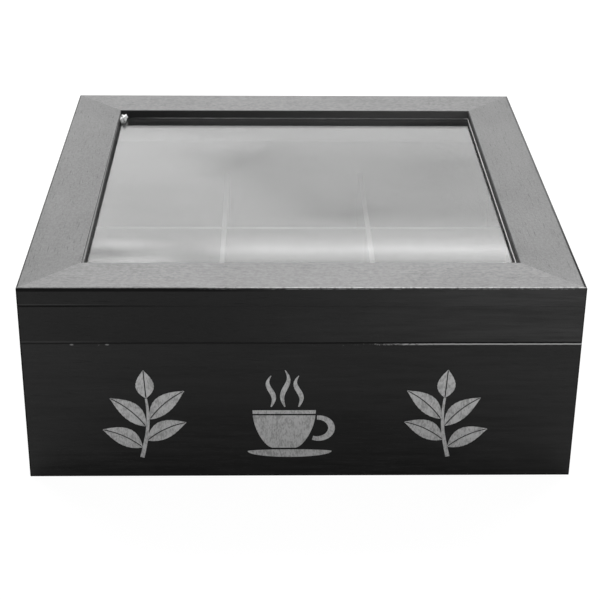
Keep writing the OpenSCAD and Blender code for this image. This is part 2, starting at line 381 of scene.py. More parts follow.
@dataclass(frozen=True)
class SeamShadeAndHighlights:
    """The painted shade and highlights along the front's long edges, which follow the heights of its seams.

    The top edge is rounded over, with painted shade on the left and, on the right, a pale line that is wear
    and painted highlight together. The seam under the lid is a painted shadow line, and the arris below it
    has a pale painted highlight towards the right. The joint above the skirt shows on the left as a painted
    shade line, and the foot is painted dark as a contact shadow. On top, the outer arrises at the two sides
    are painted dark as shade, most of all near the front.
    """

    ragged: float = 0.35 * MM
    sag: float = 0.3 * MM
    sag_stretch: Span = (-10 * MM, 70 * MM)
    front_depth: Span = (0.3 * MM, 0.6 * MM)
    brim_depth: Span = (0.8 * MM, 1.3 * MM)
    top_drop: Span = (0.05 * MM, 0.3 * MM)
    rubbed_stretch: Span = (-60 * MM, -8 * MM)
    arris: tuple[float, float, float] = (-1.02 * MM, -0.5 * MM, 0.15 * MM)
    arris_stretch: Span = (5 * MM, 75 * MM)
    arris_gain: Span = (-0.2, 0.3)
    left_stretch: Span = (-105 * MM, -70 * MM)
    left_level: float = 0.05
    left_seam: tuple[float, float, float] = (0.5 * MM, 1.0 * MM, 0.3 * MM)
    left_joint: tuple[float, float, float] = (0.75 * MM, 0.95 * MM, 0.25 * MM)
    chips_middle: float = -90.5 * MM
    chips_apart: float = 7.5 * MM
    chips_drop: float = 0.6 * MM
    chip_half_w: float = 0.9 * MM
    chip_half_h: float = 0.4 * MM
    chip_level: float = 0.45
    speckled_drop: Span = (0.45 * MM, 0.9 * MM)
    speckled_stretch: Span = (-35 * MM, 0.0)
    speckled_level: float = 0.1
    seam: Line = Line(-0.25 * MM, 0.3 * MM, 0.12 * MM, (-60 * MM, 40 * MM), (0.7, 1.0))
    joint: Line = Line(-0.25 * MM, 0.35 * MM, 0.2 * MM, (-105 * MM, -35 * MM), (1.0, 0.0))
    crest: Line = Line(0.25 * MM, 1.3 * MM, 0.5 * MM, (-50 * MM, 5 * MM), (1.0, 0.0))
    rolled_level: float = 0.5
    foot: Span = (0.45 * MM, 0.8 * MM)
    corner: Span = (0.45 * MM, 0.85 * MM)
    corner_right: float = 0.6
    middle: Span = (-10 * MM, 10 * MM)
    rim: Span = (0.45 * MM, 0.95 * MM)
    rim_right_inset: float = 0.45 * MM
    rim_left: tuple[float, float, float, float] = (2 * MM, 16 * MM, 0.95, 0.6)
    rim_right: tuple[float, float, float, float] = (12 * MM, 110 * MM, 0.98, 0.45)

    def place(self, graph: Graph, given: NodeOutputs) -> FrontPlace:
        """Measures a place from the front's planes, with ragged heights.

        Args:
            graph: the group's graph.
            given: the place and the planes.

        Returns:
            The measures.
        """
        ragged = graph.noise(given["Place"], 1.0, 3.0, 0.7, stretch=(260.0, 0.0, 0.0))
        across, along, even_height = graph.split(given["Place"])
        height = graph.scaled(graph.less(ragged, 0.5), self.ragged, even_height)
        depth = graph.math("ADD", along, given["Front"])
        sag = graph.fade(across, *self.sag_stretch, self.sag)
        under_top = graph.less(given["Top"], height)
        on_top = graph.fade(under_top, *self.top_drop)
        return FrontPlace(
            across, height, depth, above_seam=graph.math("ADD", graph.less(height, given["Seam"]), sag),
            above_joint=graph.less(height, given["Joint"]), under_top=under_top,
            broken=graph.noise(given["Place"], 1.0, 3.0, 0.75, stretch=(420.0, 0.0, 900.0)),
            on_front=graph.fade(depth, *self.front_depth), on_top=on_top,
            at_brim=graph.product(graph.fade(depth, *self.brim_depth), on_top))

    def pale(self, graph: Graph, at: FrontPlace, rubbed: NodeSocket) -> NodeSocket:
        """Makes the pale marks: a painted highlight on the arris under the seam, painted highlight lines and
        chips on the left, and the top front brim, which is wear and painted highlight together.

        Args:
            graph: the group's graph.
            at: the place, measured from the front's planes.
            rubbed: where the front is rubbed and takes more painted highlight.

        Returns:
            The mask's socket.
        """
        both, either = graph.product, graph.most
        reach = graph.ramp(at.across, *self.arris_stretch, *self.arris_gain)
        arris = both(graph.within(at.above_seam, *self.arris),
                     graph.ramp(graph.math("ADD", at.broken, reach), 0.45, 0.65))
        left_lines = both(graph.fade(at.across, *self.left_stretch, self.left_level), either(
            graph.within(at.above_seam, *self.left_seam), graph.within(at.above_joint, *self.left_joint)))
        off = graph.math("ABSOLUTE", graph.math("ADD", at.across, -self.chips_middle))
        chip = graph.join(
            graph.math("DIVIDE", graph.less(off, self.chips_apart), self.chip_half_w),
            graph.math("DIVIDE", graph.math("ADD", at.above_seam, self.chips_drop), self.chip_half_h))
        chips = graph.fade(graph.length(chip), 0.5, 1.2, self.chip_level)
        speckled = both(graph.fade(at.under_top, *self.speckled_drop, self.speckled_level),
                        graph.ramp(at.broken, 0.45, 0.7), graph.ramp(at.across, *self.speckled_stretch))
        brim = both(at.at_brim, graph.ramp(rubbed, 0.0, 1.0, 0.2, 1.0),
                    graph.ramp(at.broken, 0.35, 0.6, 0.2, 0.95))
        return either(both(either(arris, left_lines, chips, speckled), at.on_front), brim)

    def dark(self, graph: Graph, at: FrontPlace, side: NodeSocket) -> NodeSocket:
        """Makes the painted shade: dark lines at the seam, the joint and the rounded crest, at the foot and
        the corners, and along the rim on top.

        Args:
            graph: the group's graph.
            at: the place, measured from the front's planes.
            side: how far the sides lie from the middle.

        Returns:
            The mask's socket.
        """
        both, either = graph.product, graph.most
        rolled = both(at.at_brim, graph.fade(at.across, *self.crest.stretch, self.rolled_level))
        from_side = graph.less(side, graph.math("ABSOLUTE", at.across))
        on_right = graph.ramp(at.across, *self.middle)
        on_left = graph.less(1.0, on_right)
        corner = both(graph.fade(from_side, *self.corner),
                      graph.scaled(on_left, 1.0 - self.corner_right, self.corner_right))
        nearer = either(both(on_left, graph.ramp(at.depth, *self.rim_left)),
                        both(on_right, graph.ramp(at.depth, *self.rim_right)))
        from_rim = graph.less(from_side, both(on_right, self.rim_right_inset))
        rim = both(graph.fade(from_rim, *self.rim), at.on_top, nearer)
        lines = either(self.seam.mask(graph, at.above_seam, at.across),
                       self.joint.mask(graph, at.above_joint, at.across),
                       self.crest.mask(graph, at.under_top, at.across),
                       graph.fade(at.height, *self.foot), corner)
        return either(both(lines, at.on_front), rolled, rim)

    def group(self) -> NodeTree:
        """Builds the node group of the painted shade and highlights.

        Returns:
            The node group.
        """
        graph, given, leave = new_group(
            "seam_marks", {"Front": 0.12, "Side": 0.12, "Seam": 0.0675, "Joint": 0.085, "Top": 0.0935},
            ("Pale", "Dark", "Rubbed"))
        at = self.place(graph, given)
        # wear and painted highlight both grow towards the right
        rubbed = graph.ramp(at.across, *self.rubbed_stretch)
        graph.fill(leave, {"Pale": self.pale(graph, at, rubbed), "Dark": self.dark(graph, at, given["Side"]),
                           "Rubbed": rubbed})
        return graph.tree


GRAIN = grain_group()
MARKS = SeamShadeAndHighlights().group()
WEAR = wear_group()
DUST = dust_group()
BRUSH = brushed_group()

ARRIS, CROWN, INSIDE, LIP = "arris", "crown", "inside", "lip"


class Run(Enum):
    """The axis that a board's grain or a metal's brushing runs along, as a turn of the pattern."""

    X = (0.0, 0.0, 0.0)
    Y = (0.0, 0.0, -math.pi / 2)
    Z = (0.0, math.pi / 2, 0.0)


PATTERN_STEP = (0.731, 0.377, 0.553)


@dataclass(frozen=True)
class Finish:
    """A procedural finish. Each kind says what its Principled shader's inputs get."""

    name: str

    def inputs(self, graph: Graph, place: NodeSocket) -> dict[str, Any]:
        """Builds what the shader gets.

        Args:
            graph: the material's graph.
            place: the coordinates that the pattern follows.

        Returns:
            A value, or a socket to link from, for each of the shader's inputs that isn't left as it is.
        """
        raise NotImplementedError

    def material(self, piece: str = "", run: Run = Run.X, shift: float = 0.0) -> Material:
        """Builds the finish for one piece.

        Args:
            piece: the piece's name, where more than one has the finish and each gets its own pattern.
            run: the axis that its grain or brushing runs along.
            shift: where in the pattern the piece was cut.

        Returns:
            The material.
        """
        material = bpy.data.materials.new(f"{self.name}_{piece}" if piece else self.name)
        material.use_nodes = True
        graph = Graph(material.node_tree)
        place = graph.place()
        if piece:
            cut = tuple(shift * step for step in PATTERN_STEP)
            turned = {"Vector": place, "Location": cut, "Rotation": run.value}
            place = graph.add("ShaderNodeMapping", turned).outputs[0]
        graph.fill(material.node_tree.nodes["Principled BSDF"], self.inputs(graph, place))
        return material


@dataclass(frozen=True)
class SeamHeights:
    """The planes of the front that its painted shade and highlights follow."""

    front: float
    side: float
    seam: float
    joint: float
    top: float

    def inputs(self) -> dict[str, float]:
        """Returns the planes by the names that the marks' group gives them."""
        return {name.title(): plane for name, plane in asdict(self).items()}


@dataclass(frozen=True)
class PaintedWood(Finish):
    """Satin black paint over wood that shows its grain, with a satin coat and a painted sheen on faces that
    look up.
    """

    name: str = "painted_wood"
    dark: float = 0.0042
    light: float = 0.0142
    left: float = 1.0
    right: float = 1.0
    left_to_right: Span = (-60 * MM, 120 * MM)
    worn: float = 0.42
    wear: float = 0.60
    dust_tone: float = 0.35
    dust_share: float = 0.10
    inside_tone: float = 0.18
    lip_tone: float = 0.006
    lip_left: float = 0.4
    lip_right: float = 1.6
    lip_rolled: float = 0.0
    lip_top: float = 0.0
    lip_arris: Span = (-100 * MM, -90 * MM)
    lip_arris_soft: float = 2 * MM
    lip_arris_wear: Span = (0.3, 0.44)
    lip_sides: Span = (-120 * MM, 120 * MM)
    lip_ends: Span = (-95 * MM, 95 * MM)
    roll_widths: Span = (2.9 * MM, 0.7 * MM)
    roll_soft: Span = (-0.6 * MM, 0.5 * MM)
    roll_end: Span = (-10 * MM, 10 * MM)
    body_clouds: Span = (0.5, 0.75)
    crown_tone: float = 0.05
    crown_left: float = 1.0
    crown_right: float = 1.0
    crown_front: float = 1.0
    crown_coat: float = 0.35
    crown_streaks: Span = (0.4, 0.8)
    left_end: Span = (-115 * MM, -60 * MM)
    right_end: Span = (60 * MM, 115 * MM)
    front_end: Span = (-108 * MM, -80 * MM)
    front_side: Span = (0.0, 50 * MM)
    shine_even: float = 0.7
    shine_streaks: float = 0.2
    shine_speckle: float = 0.4
    shine_pores: float = -0.3
    coat_roughness: float = 0.45
    roughness: float = 0.38
    rough_clouds: float = 0.09
    rough_streaks: float = 0.14
    rough_pores: float = 0.2
    rough_marks: float = 0.5
    rough_worn: float = 0.15
    specular: float = 0.28
    streaks_per_metre: float = 480.0
    relief: float = 0.18 * MM
    relief_strength: float = 0.6
    relief_inside: float = 0.1
    speckle: float = 0.3
    marks: SeamHeights | None = None

    def crown(self, graph: Graph, across: NodeSocket, along: NodeSocket, grain: NodeOutputs) -> NodeSocket:
        """Makes the painted sheen of the faces that look up: a paler tone in place of reflected light, which
        changes towards a member's ends.

        Args:
            graph: the material's graph.
            across: the place from left to right.
            along: the place from front to back.
            grain: what the grain group puts out.

        Returns:
            The tone's socket.
        """
        rub = graph.scaled(grain["Speckle"], self.speckle, 1.0 - self.speckle / 2)
        rub = graph.product(rub, graph.scaled(grain["Streaks"], *self.crown_streaks))
        ends = graph.product(graph.ramp(across, *self.left_end, self.crown_left, 1.0),
                             graph.ramp(across, *self.right_end, 1.0, self.crown_right))
        front = graph.product(graph.fade(along, *self.front_end, self.crown_front - 1.0),
                              graph.ramp(across, *self.front_side))
        ends = graph.product(ends, graph.math("ADD", front, 1.0))
        return graph.product(rub, self.crown_tone, ends)

    def lip(self, graph: Graph, across: NodeSocket, along: NodeSocket, height: NodeSocket) -> NodeSocket:
        """Makes the tone of the matt lip round the window, painted light on the frame, with a painted
        highlight as a paler roll along its top on the left.

        Args:
            graph: the material's graph.
            across: the place from left to right.
            along: the place from front to back.
            height: the place's height.

        Returns:
            The tone's socket.
        """
        tone = graph.ramp(across, *self.lip_sides, self.lip_tone * self.lip_left,
                          self.lip_tone * self.lip_right)
        roll = graph.ramp(along, *self.lip_ends, *self.roll_widths)
        below = graph.less(graph.less(self.lip_top, height), roll)
        rolled = graph.product(graph.fade(below, *self.roll_soft, self.lip_rolled),
                               graph.fade(across, *self.roll_end))
        return graph.math("ADD", tone, rolled)

    def tones(self, graph: Graph, grain: NodeOutputs, clouds: NodeSocket) -> NodeSocket:
        """Mixes the paint's tones: grain, clouds, slow changes from left to right, the crown's painted sheen,
        the lip's painted light and the paler inside.

        Args:
            graph: the material's graph.
            grain: what the grain group puts out.
            clouds: the soft variation.

        Returns:
            The colour's socket.
        """
        across, along, height = graph.split(graph.place())
        share = graph.product(graph.ramp(across, *self.left_to_right, self.left, self.right),
                              graph.scaled(clouds, *self.body_clouds))
        depth = graph.product(graph.scaled(grain["Streaks"], self.light - self.dark, self.dark), share)
        # painted sheen: faces that look up take the paler crown tone in place of reflected light
        paint = graph.mix(graph.attribute(CROWN), graph.even(depth),
                          graph.even(self.crown(graph, across, along, grain)))
        # painted light on the lip round the window, and the roll's painted highlight on the left
        lined = graph.ramp(graph.attribute(LIP), 0.0, 0.5)
        if self.lip_rolled:
            arris = graph.ramp(graph.attribute(ARRIS), *self.lip_arris_wear)
            reach = graph.within(across, *self.lip_arris, self.lip_arris_soft)
            lined = graph.most(lined, graph.product(arris, reach))
        paint = graph.mix(lined, paint, graph.even(self.lip(graph, across, along, height)))
        # painted light: the paler inside partly stands in for light through the glass
        return graph.mix(graph.attribute(INSIDE), paint, grey(self.inside_tone))

    def inputs(self, graph: Graph, place: NodeSocket) -> dict[str, Any]:
        """Builds what the shader gets.

        Args:
            graph: the material's graph.
            place: the coordinates, turned along the grain.

        Returns:
            The inputs by name.
        """
        grain = graph.group(GRAIN, {"Place": place, "Streaks per Metre": self.streaks_per_metre})
        dust = graph.group(DUST, {"Place": place})
        rubs = {"Place": place, "Arris": graph.attribute(ARRIS), "Amount": self.wear}
        wear = graph.group(WEAR, rubs)["Mask"]
        paint = self.tones(graph, grain, dust["Clouds"])
        paint = graph.mix(graph.product(dust["Specks"], self.dust_share), paint, grey(self.dust_tone))
        shine = graph.scaled(grain["Streaks"], self.shine_streaks, self.shine_even)
        shine = graph.scaled(grain["Speckle"], self.speckle * self.shine_speckle, shine)
        shine = graph.scaled(grain["Pores"], self.shine_pores, shine)
        coat = graph.product(shine, self.crown_coat, graph.attribute(CROWN))
        rough = graph.scaled(dust["Clouds"], self.rough_clouds, self.roughness)
        rough = graph.scaled(grain["Streaks"], self.rough_streaks, rough)
        rough = graph.scaled(grain["Pores"], self.rough_pores, rough)
        rough = graph.most(rough, graph.attribute(LIP))
        if self.marks:
            marks = graph.group(MARKS, {"Place": graph.place(), **self.marks.inputs()})
            # the pale marks, painted highlights with some wear, join the arris wear
            wear = graph.most(graph.product(wear, marks["Rubbed"]), marks["Pale"])
            # painted shade: the seam, joint, crest, foot, corner and rim lines go to black and lose their
            # coat
            paint = graph.mix(marks["Dark"], paint, grey(0.0))
            rough = graph.math("ADD", rough, graph.product(marks["Dark"], self.rough_marks))
            coat = graph.product(coat, graph.less(1.0, marks["Dark"]))
        bare = graph.ramp(graph.attribute(INSIDE), 0.0, 0.3, 1.0, self.relief_inside)
        height = graph.product(grain["Height"], bare)
        return {
            "Base Color": graph.mix(wear, paint, grey(self.worn)),
            "Roughness": graph.scaled(wear, self.rough_worn, rough),
            "Normal": graph.bump(height, self.relief_strength, self.relief),
            "Coat Weight": coat,
            "Coat Roughness": self.coat_roughness,
            "Specular IOR Level": self.specular,
        }


@dataclass(frozen=True)
class PaintedBoard(Finish):
    """Matte black paint on fine pressed board, with a painted sheen on faces that look up and its edges a
    little lighter as wear and painted highlight together.
    """

    name: str = "painted_board"
    dark: float = 0.026
    light: float = 0.044
    worn: float = 0.16
    crown_tone: float = 0.035
    dust_tone: float = 0.3
    dust_share: float = 0.15
    roughness: float = 0.65
    specular: float = 0.12
    speck_scale: float = 1500.0
    speck_span: Span = (0.35, 0.65)
    crown_share: float = 0.8
    cloud_size: float = 0.05
    rough_clouds: float = 0.08
    relief: float = 0.06 * MM
    relief_strength: float = 0.5

    def inputs(self, graph: Graph, place: NodeSocket) -> dict[str, Any]:
        """Builds what the shader gets.

        Args:
            graph: the material's graph.
            place: the coordinates, turned along the sanding.

        Returns:
            The inputs by name.
        """
        fibre = graph.noise(place, self.speck_scale, 3.0, 0.6, stretch=(0.4, 1.0, 1.0))
        dust = graph.group(DUST, {"Place": place, "Cloud Size": self.cloud_size})
        wear = graph.group(WEAR, {"Place": place, "Arris": graph.attribute(ARRIS), "Amount": 1.0})["Mask"]
        paint = graph.mix(graph.ramp(fibre, *self.speck_span), grey(self.dark), grey(self.light))
        # painted sheen: faces that look up take the paler crown tone
        wiped = graph.product(graph.attribute(CROWN), self.crown_share)
        paint = graph.mix(wiped, paint, grey(self.crown_tone))
        paint = graph.mix(graph.product(dust["Specks"], self.dust_share), paint, grey(self.dust_tone))
        return {
            "Base Color": graph.mix(wear, paint, grey(self.worn)),
            "Roughness": graph.scaled(dust["Clouds"], self.rough_clouds, self.roughness),
            "Normal": graph.bump(fibre, self.relief_strength, self.relief),
            "Specular IOR Level": self.specular,
        }


@dataclass(frozen=True)
class PlatedSteel(Finish):
    """Nickel plate over brushed steel."""

    name: str = "plated_steel"
    tone: Colour = colour(0.33, 0.325, 0.31)
    dull: Colour = colour(0.19, 0.185, 0.18)
    rubbed: Colour = colour(0.60, 0.59, 0.57)
    cloud_size: float = 4 * MM
    dull_share: float = 0.45
    rubbed_share: float = 0.6
    roughness: float = 0.38
    rough_lines: float = 0.22
    relief: float = 0.02 * MM
    relief_strength: float = 0.25

    def inputs(self, graph: Graph, place: NodeSocket) -> dict[str, Any]:
        """Builds what the shader gets.

        Args:
            graph: the material's graph.
            place: the coordinates, turned along the brushing.

        Returns:
            The inputs by name.
        """
        lines = graph.group(BRUSH, {"Place": place})["Lines"]
        clouds = graph.group(DUST, {"Place": place, "Cloud Size": self.cloud_size})["Clouds"]
        tone = graph.mix(graph.product(clouds, self.dull_share), self.tone, self.dull)
        rubbed = graph.product(graph.attribute(ARRIS), self.rubbed_share)
        return {
            "Base Color": graph.mix(rubbed, tone, self.rubbed),
            "Roughness": graph.scaled(lines, self.rough_lines, self.roughness),
            "Normal": graph.bump(lines, self.relief_strength, self.relief),
            "Metallic": 1.0,
        }


@dataclass(frozen=True)
class SilverPaint(Finish):
    """Silver paint that was stencilled on with a fairly dry brush, so the ground shows through in places."""

    name: str = "silver_paint"
    tone: float = 0.60
    thin: float = 0.36
    stroke_scale: float = 1700.0
    blot_scale: float = 260.0
    stroke_share: float = 0.6
    cover_span: Span = (0.38, 0.56)
    metallic: float = 0.25
    roughness: float = 0.45
    rough_strokes: float = 0.15
    relief: float = 0.03 * MM
    relief_strength: float = 0.4

    def inputs(self, graph: Graph, place: NodeSocket) -> dict[str, Any]:
        """Builds what the shader gets.

        Args:
            graph: the material's graph.
            place: the coordinates, turned along the brush strokes.

        Returns:
            The inputs by name.
        """
        strokes = graph.noise(place, self.stroke_scale, 3.0, 0.6, stretch=(0.4, 1.0, 1.0))
        blots = graph.noise(place, self.blot_scale, 3.0, 0.6)
        both = graph.blend(strokes, self.stroke_share, blots, 1 - self.stroke_share)
        cover = graph.ramp(both, *self.cover_span)
        return {
            "Base Color": graph.mix(cover, grey(self.thin), grey(self.tone)),
            "Roughness": graph.scaled(strokes, self.rough_strokes, self.roughness),
            "Normal": graph.bump(strokes, self.relief_strength, self.relief),
            "Metallic": self.metallic,
        }


@dataclass(frozen=True)
class FloatGlass(Finish):
    """Clear float glass with faint wiping smears. Light for shadows passes straight through it."""

    name: str = "float_glass"
    clean: Colour = colour(0.972, 0.978, 0.975)
    smeared: Colour = colour(0.93, 0.935, 0.932)
    smear_scale: float = 40.0
    smear_span: Span = (0.4, 0.75)
    ior: float = 1.5

    def inputs(self, graph: Graph, place: NodeSocket) -> dict[str, Any]:
        """Builds what the shader gets.

        Args:
            graph: the material's graph.
            place: the coordinates that the smears follow.

        Returns:
            The inputs by name.
        """
        wiped = graph.noise(place, self.smear_scale, 3.0, stretch=(0.5, 2.0, 1.0))
        return {
            "Base Color": graph.mix(graph.ramp(wiped, *self.smear_span), self.clean, self.smeared),
            "Roughness": 0.0, "Transmission Weight": 1.0, "IOR": self.ior,
        }

    def material(self, piece: str = "", run: Run = Run.X, shift: float = 0.0) -> Material:
        """Builds the glass for one pane and lets light for shadows through.

        Args:
            piece: the pane's name, where there is more than one.
            run: the axis that it was wiped along.
            shift: where in the pattern the pane lies.

        Returns:
            The material.
        """
        material = super().material(piece, run, shift)
        graph, nodes = Graph(material.node_tree), material.node_tree.nodes
        clear = graph.add("ShaderNodeBsdfTransparent", {"Color": self.clean})
        shadow = graph.add("ShaderNodeLightPath").outputs["Is Shadow Ray"]
        both = graph.add("ShaderNodeMixShader", {
            0: shadow, 1: nodes["Principled BSDF"].outputs[0], 2: clear.outputs[0]})
        graph.fill(nodes["Material Output"], {"Surface": both.outputs[0]})
        return material


@dataclass(frozen=True)
class Sealant(Finish):
    """Soft grey sealant that bedded the glass, wiped to a small fillet, dark and dull on the left. Its pale
    tone, palest on the right, is also a painted highlight along the glass edge.
    """

    name: str = "sealant"
    tone: float = 0.22
    thin: float = 0.6
    right_tone: float = 0.50
    left_tone: float = 0.008
    left_end: Span = (-94 * MM, -60 * MM)
    right_side: Span = (92 * MM, 94.5 * MM)
    wipe_scale: float = 180.0
    wipe_span: Span = (0.35, 0.65)
    roughness: float = 0.35
    dull: float = 0.95
    relief: float = 0.2 * MM
    relief_strength: float = 0.3

    def inputs(self, graph: Graph, place: NodeSocket) -> dict[str, Any]:
        """Builds what the shader gets.

        Args:
            graph: the material's graph.
            place: the coordinates that the wiping follows.

        Returns:
            The inputs by name.
        """
        wiped = graph.noise(place, self.wipe_scale, 3.0)
        across = graph.split(place)[0]
        clean = graph.mix(graph.ramp(wiped, *self.wipe_span), grey(self.tone * self.thin), grey(self.tone))
        # painted highlight: the fillet is palest along the right side of the window
        clean = graph.mix(graph.ramp(across, *self.right_side), clean, grey(self.right_tone))
        return {
            "Base Color": graph.mix(graph.ramp(across, *self.left_end), grey(self.left_tone), clean),
            "Roughness": graph.ramp(across, *self.left_end, self.dull, self.roughness),
            "Normal": graph.bump(wiped, self.relief_strength, self.relief),
        }


@dataclass(frozen=True)
class Glue(Finish):
    """Dried white glue, darker in its hollows."""

    name: str = "dried_glue"
    tone: float = 0.95
    dusty: float = 0.2
    lump_scale: float = 900.0
    hollows: Span = (0.38, 0.47)
    roughness: float = 0.4
    relief: float = 0.2 * MM
    relief_strength: float = 0.6

    def inputs(self, graph: Graph, place: NodeSocket) -> dict[str, Any]:
        """Builds what the shader gets.

        Args:
            graph: the material's graph.
            place: the coordinates that the lumps follow.

        Returns:
            The inputs by name.
        """
        lumps = graph.noise(place, self.lump_scale, 3.0, 0.6)
        return {
            "Base Color": graph.mix(graph.ramp(lumps, *self.hollows), grey(self.dusty), grey(self.tone)),
            "Normal": graph.bump(lumps, self.relief_strength, self.relief),
            "Roughness": self.roughness,
        }


def put(name: str, data: Any) -> Object:
    """Puts a new object in the scene."""
    thing = bpy.data.objects.new(name, data)
    bpy.context.scene.collection.objects.link(thing)
    return thing


def made(shape: BMesh, name: str) -> Mesh:
    """Turns a worked shape into a mesh and frees the shape.

    Args:
        shape: the shape.
        name: the mesh's name.

    Returns:
        The new mesh.
    """
    mesh = bpy.data.meshes.new(name)
    shape.to_mesh(mesh)
    shape.free()
    return mesh


def finished(mesh: Mesh, name: str, material: Material, body: str,
             replaces: Sequence[str] = ()) -> None:
    """Puts a finished mesh in the scene and ties it to its body.

    Args:
        mesh: the mesh, in its place.
        name: the piece's name.
        material: its finish.
        body: the body it moves with.
        replaces: the nodes that it stands for.
    """
    piece = put(name, mesh)
    mesh.name = name
    mesh.materials.clear()
    mesh.materials.append(material)
    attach(piece, body)
    if replaces:
        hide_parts(*replaces)
    log.info("%s: %d faces on %s", name, len(mesh.polygons), body)


def applied(piece: Object) -> Mesh:
    """Turns a piece with modifiers into a plain mesh, and removes the piece that carried them.

    Args:
        piece: the carrier, in the scene.

    Returns:
        The evaluated mesh.
    """
    bpy.context.view_layer.update()
    shown = piece.evaluated_get(bpy.context.evaluated_depsgraph_get())
    mesh = bpy.data.meshes.new_from_object(shown)
    bpy.data.objects.remove(piece)
    return mesh


class Arris(Enum):
    """How round an edge is, as a share of the widest rounding."""

    FOOT = 3.4
    UNDER = 1.7
    EASED = 1.0
    SEAM = 0.85
    CHAMFERED = 0.6
    WINDOW = 0.3
    JOINT = 0.15
    CUT = 0.0


FLAT_DEG = 0.5
SHARP_DEG = 20.0
CURVED_DEG = (1.0, 30.0)
ROUNDING_STEPS = 3
PLAIN_FACE, ROUNDED_FACE = 0, 1
UP_FROM = 0.8


def weighted_copy(node: str, kind_of: Callable[[Vector, Vector], Arris]) -> Mesh:
    """Copies a node's mesh, joins its loose triangles into whole faces and says how round each edge gets.

    Args:
        node: the node's name.
        kind_of: says from an edge's two ends how round it is.

    Returns:
        The copy, with one material slot for plain faces and one for rounded ones.
    """
    mesh = frame["nodes"][node].data.copy()
    shape = bmesh.new()
    shape.from_mesh(mesh)
    bmesh.ops.remove_doubles(shape, verts=shape.verts, dist=0.001 * MM)
    bmesh.ops.dissolve_limit(shape, angle_limit=math.radians(FLAT_DEG), verts=shape.verts, edges=shape.edges)
    shape.normal_update()
    weight = shape.edges.layers.float.new("bevel_weight_edge")
    for edge in shape.edges:
        if edge.is_manifold and edge.calc_face_angle() > math.radians(SHARP_DEG):
            edge[weight] = kind_of(edge.verts[0].co, edge.verts[1].co).value
    for face in shape.faces:
        turns = [math.degrees(edge.calc_face_angle()) for edge in face.edges if edge.is_manifold]
        face.smooth = any(CURVED_DEG[0] < turn < CURVED_DEG[1] for turn in turns)
        face.material_index = PLAIN_FACE
    shape.to_mesh(mesh)
    shape.free()
    mesh.materials.clear()
    for _ in (PLAIN_FACE, ROUNDED_FACE):
        mesh.materials.append(None)
    return mesh


def even_wear(_: Vector) -> float:
    """Returns the same wear for every arris."""
    return 0.5


def nowhere(_: Vector) -> float:
    """Returns 0 for every place."""
    return 0.0


def eased_copy(node: str, width: float, kind_of: Callable[[Vector, Vector], Arris],
               wear_of: Callable[[Vector], float] = even_wear,
               inside_of: Callable[[Vector], float] = nowhere,
               lip_of: Callable[[Vector], float] = nowhere) -> Mesh:
    """Rounds the arrises of a node's copy and marks its faces for the finish.

    Args:
        node: the node's name.
        width: the rounding of an eased arris.
        kind_of: says from an edge's two ends how round it is.
        wear_of: says from a rounded face's middle how rubbed it is, from 0 to 1.
        inside_of: says from a face's middle how much it lines the inside, from 0 to 1.
        lip_of: says from a face's middle how matt it is as the window's lip, from 0 to 1.

    Returns:
        The new mesh.
    """
    carrier = put(f"{node}_carrier", weighted_copy(node, kind_of))
    rounding = carrier.modifiers.new("rounding", "BEVEL")
    rounding.limit_method = "WEIGHT"
    rounding.width = width
    rounding.segments = ROUNDING_STEPS
    rounding.material = ROUNDED_FACE
    rounding.miter_outer = "MITER_SHARP"
    result = applied(carrier)
    faces = result.polygons
    marks = {
        ARRIS: [wear_of(face.center) if face.material_index == ROUNDED_FACE else 0.0 for face in faces],
        CROWN: [smooth_step((face.normal.z - UP_FROM) / (1 - UP_FROM)) for face in faces],
        INSIDE: [inside_of(face.center) for face in faces],
        LIP: [lip_of(face.center) for face in faces],
    }
    for name, values in marks.items():
        result.attributes.new(name, "FLOAT", "FACE").data.foreach_set("value", values)
    for face in result.polygons:
        face.use_smooth = face.use_smooth or face.material_index == ROUNDED_FACE
        face.material_index = PLAIN_FACE
    return result


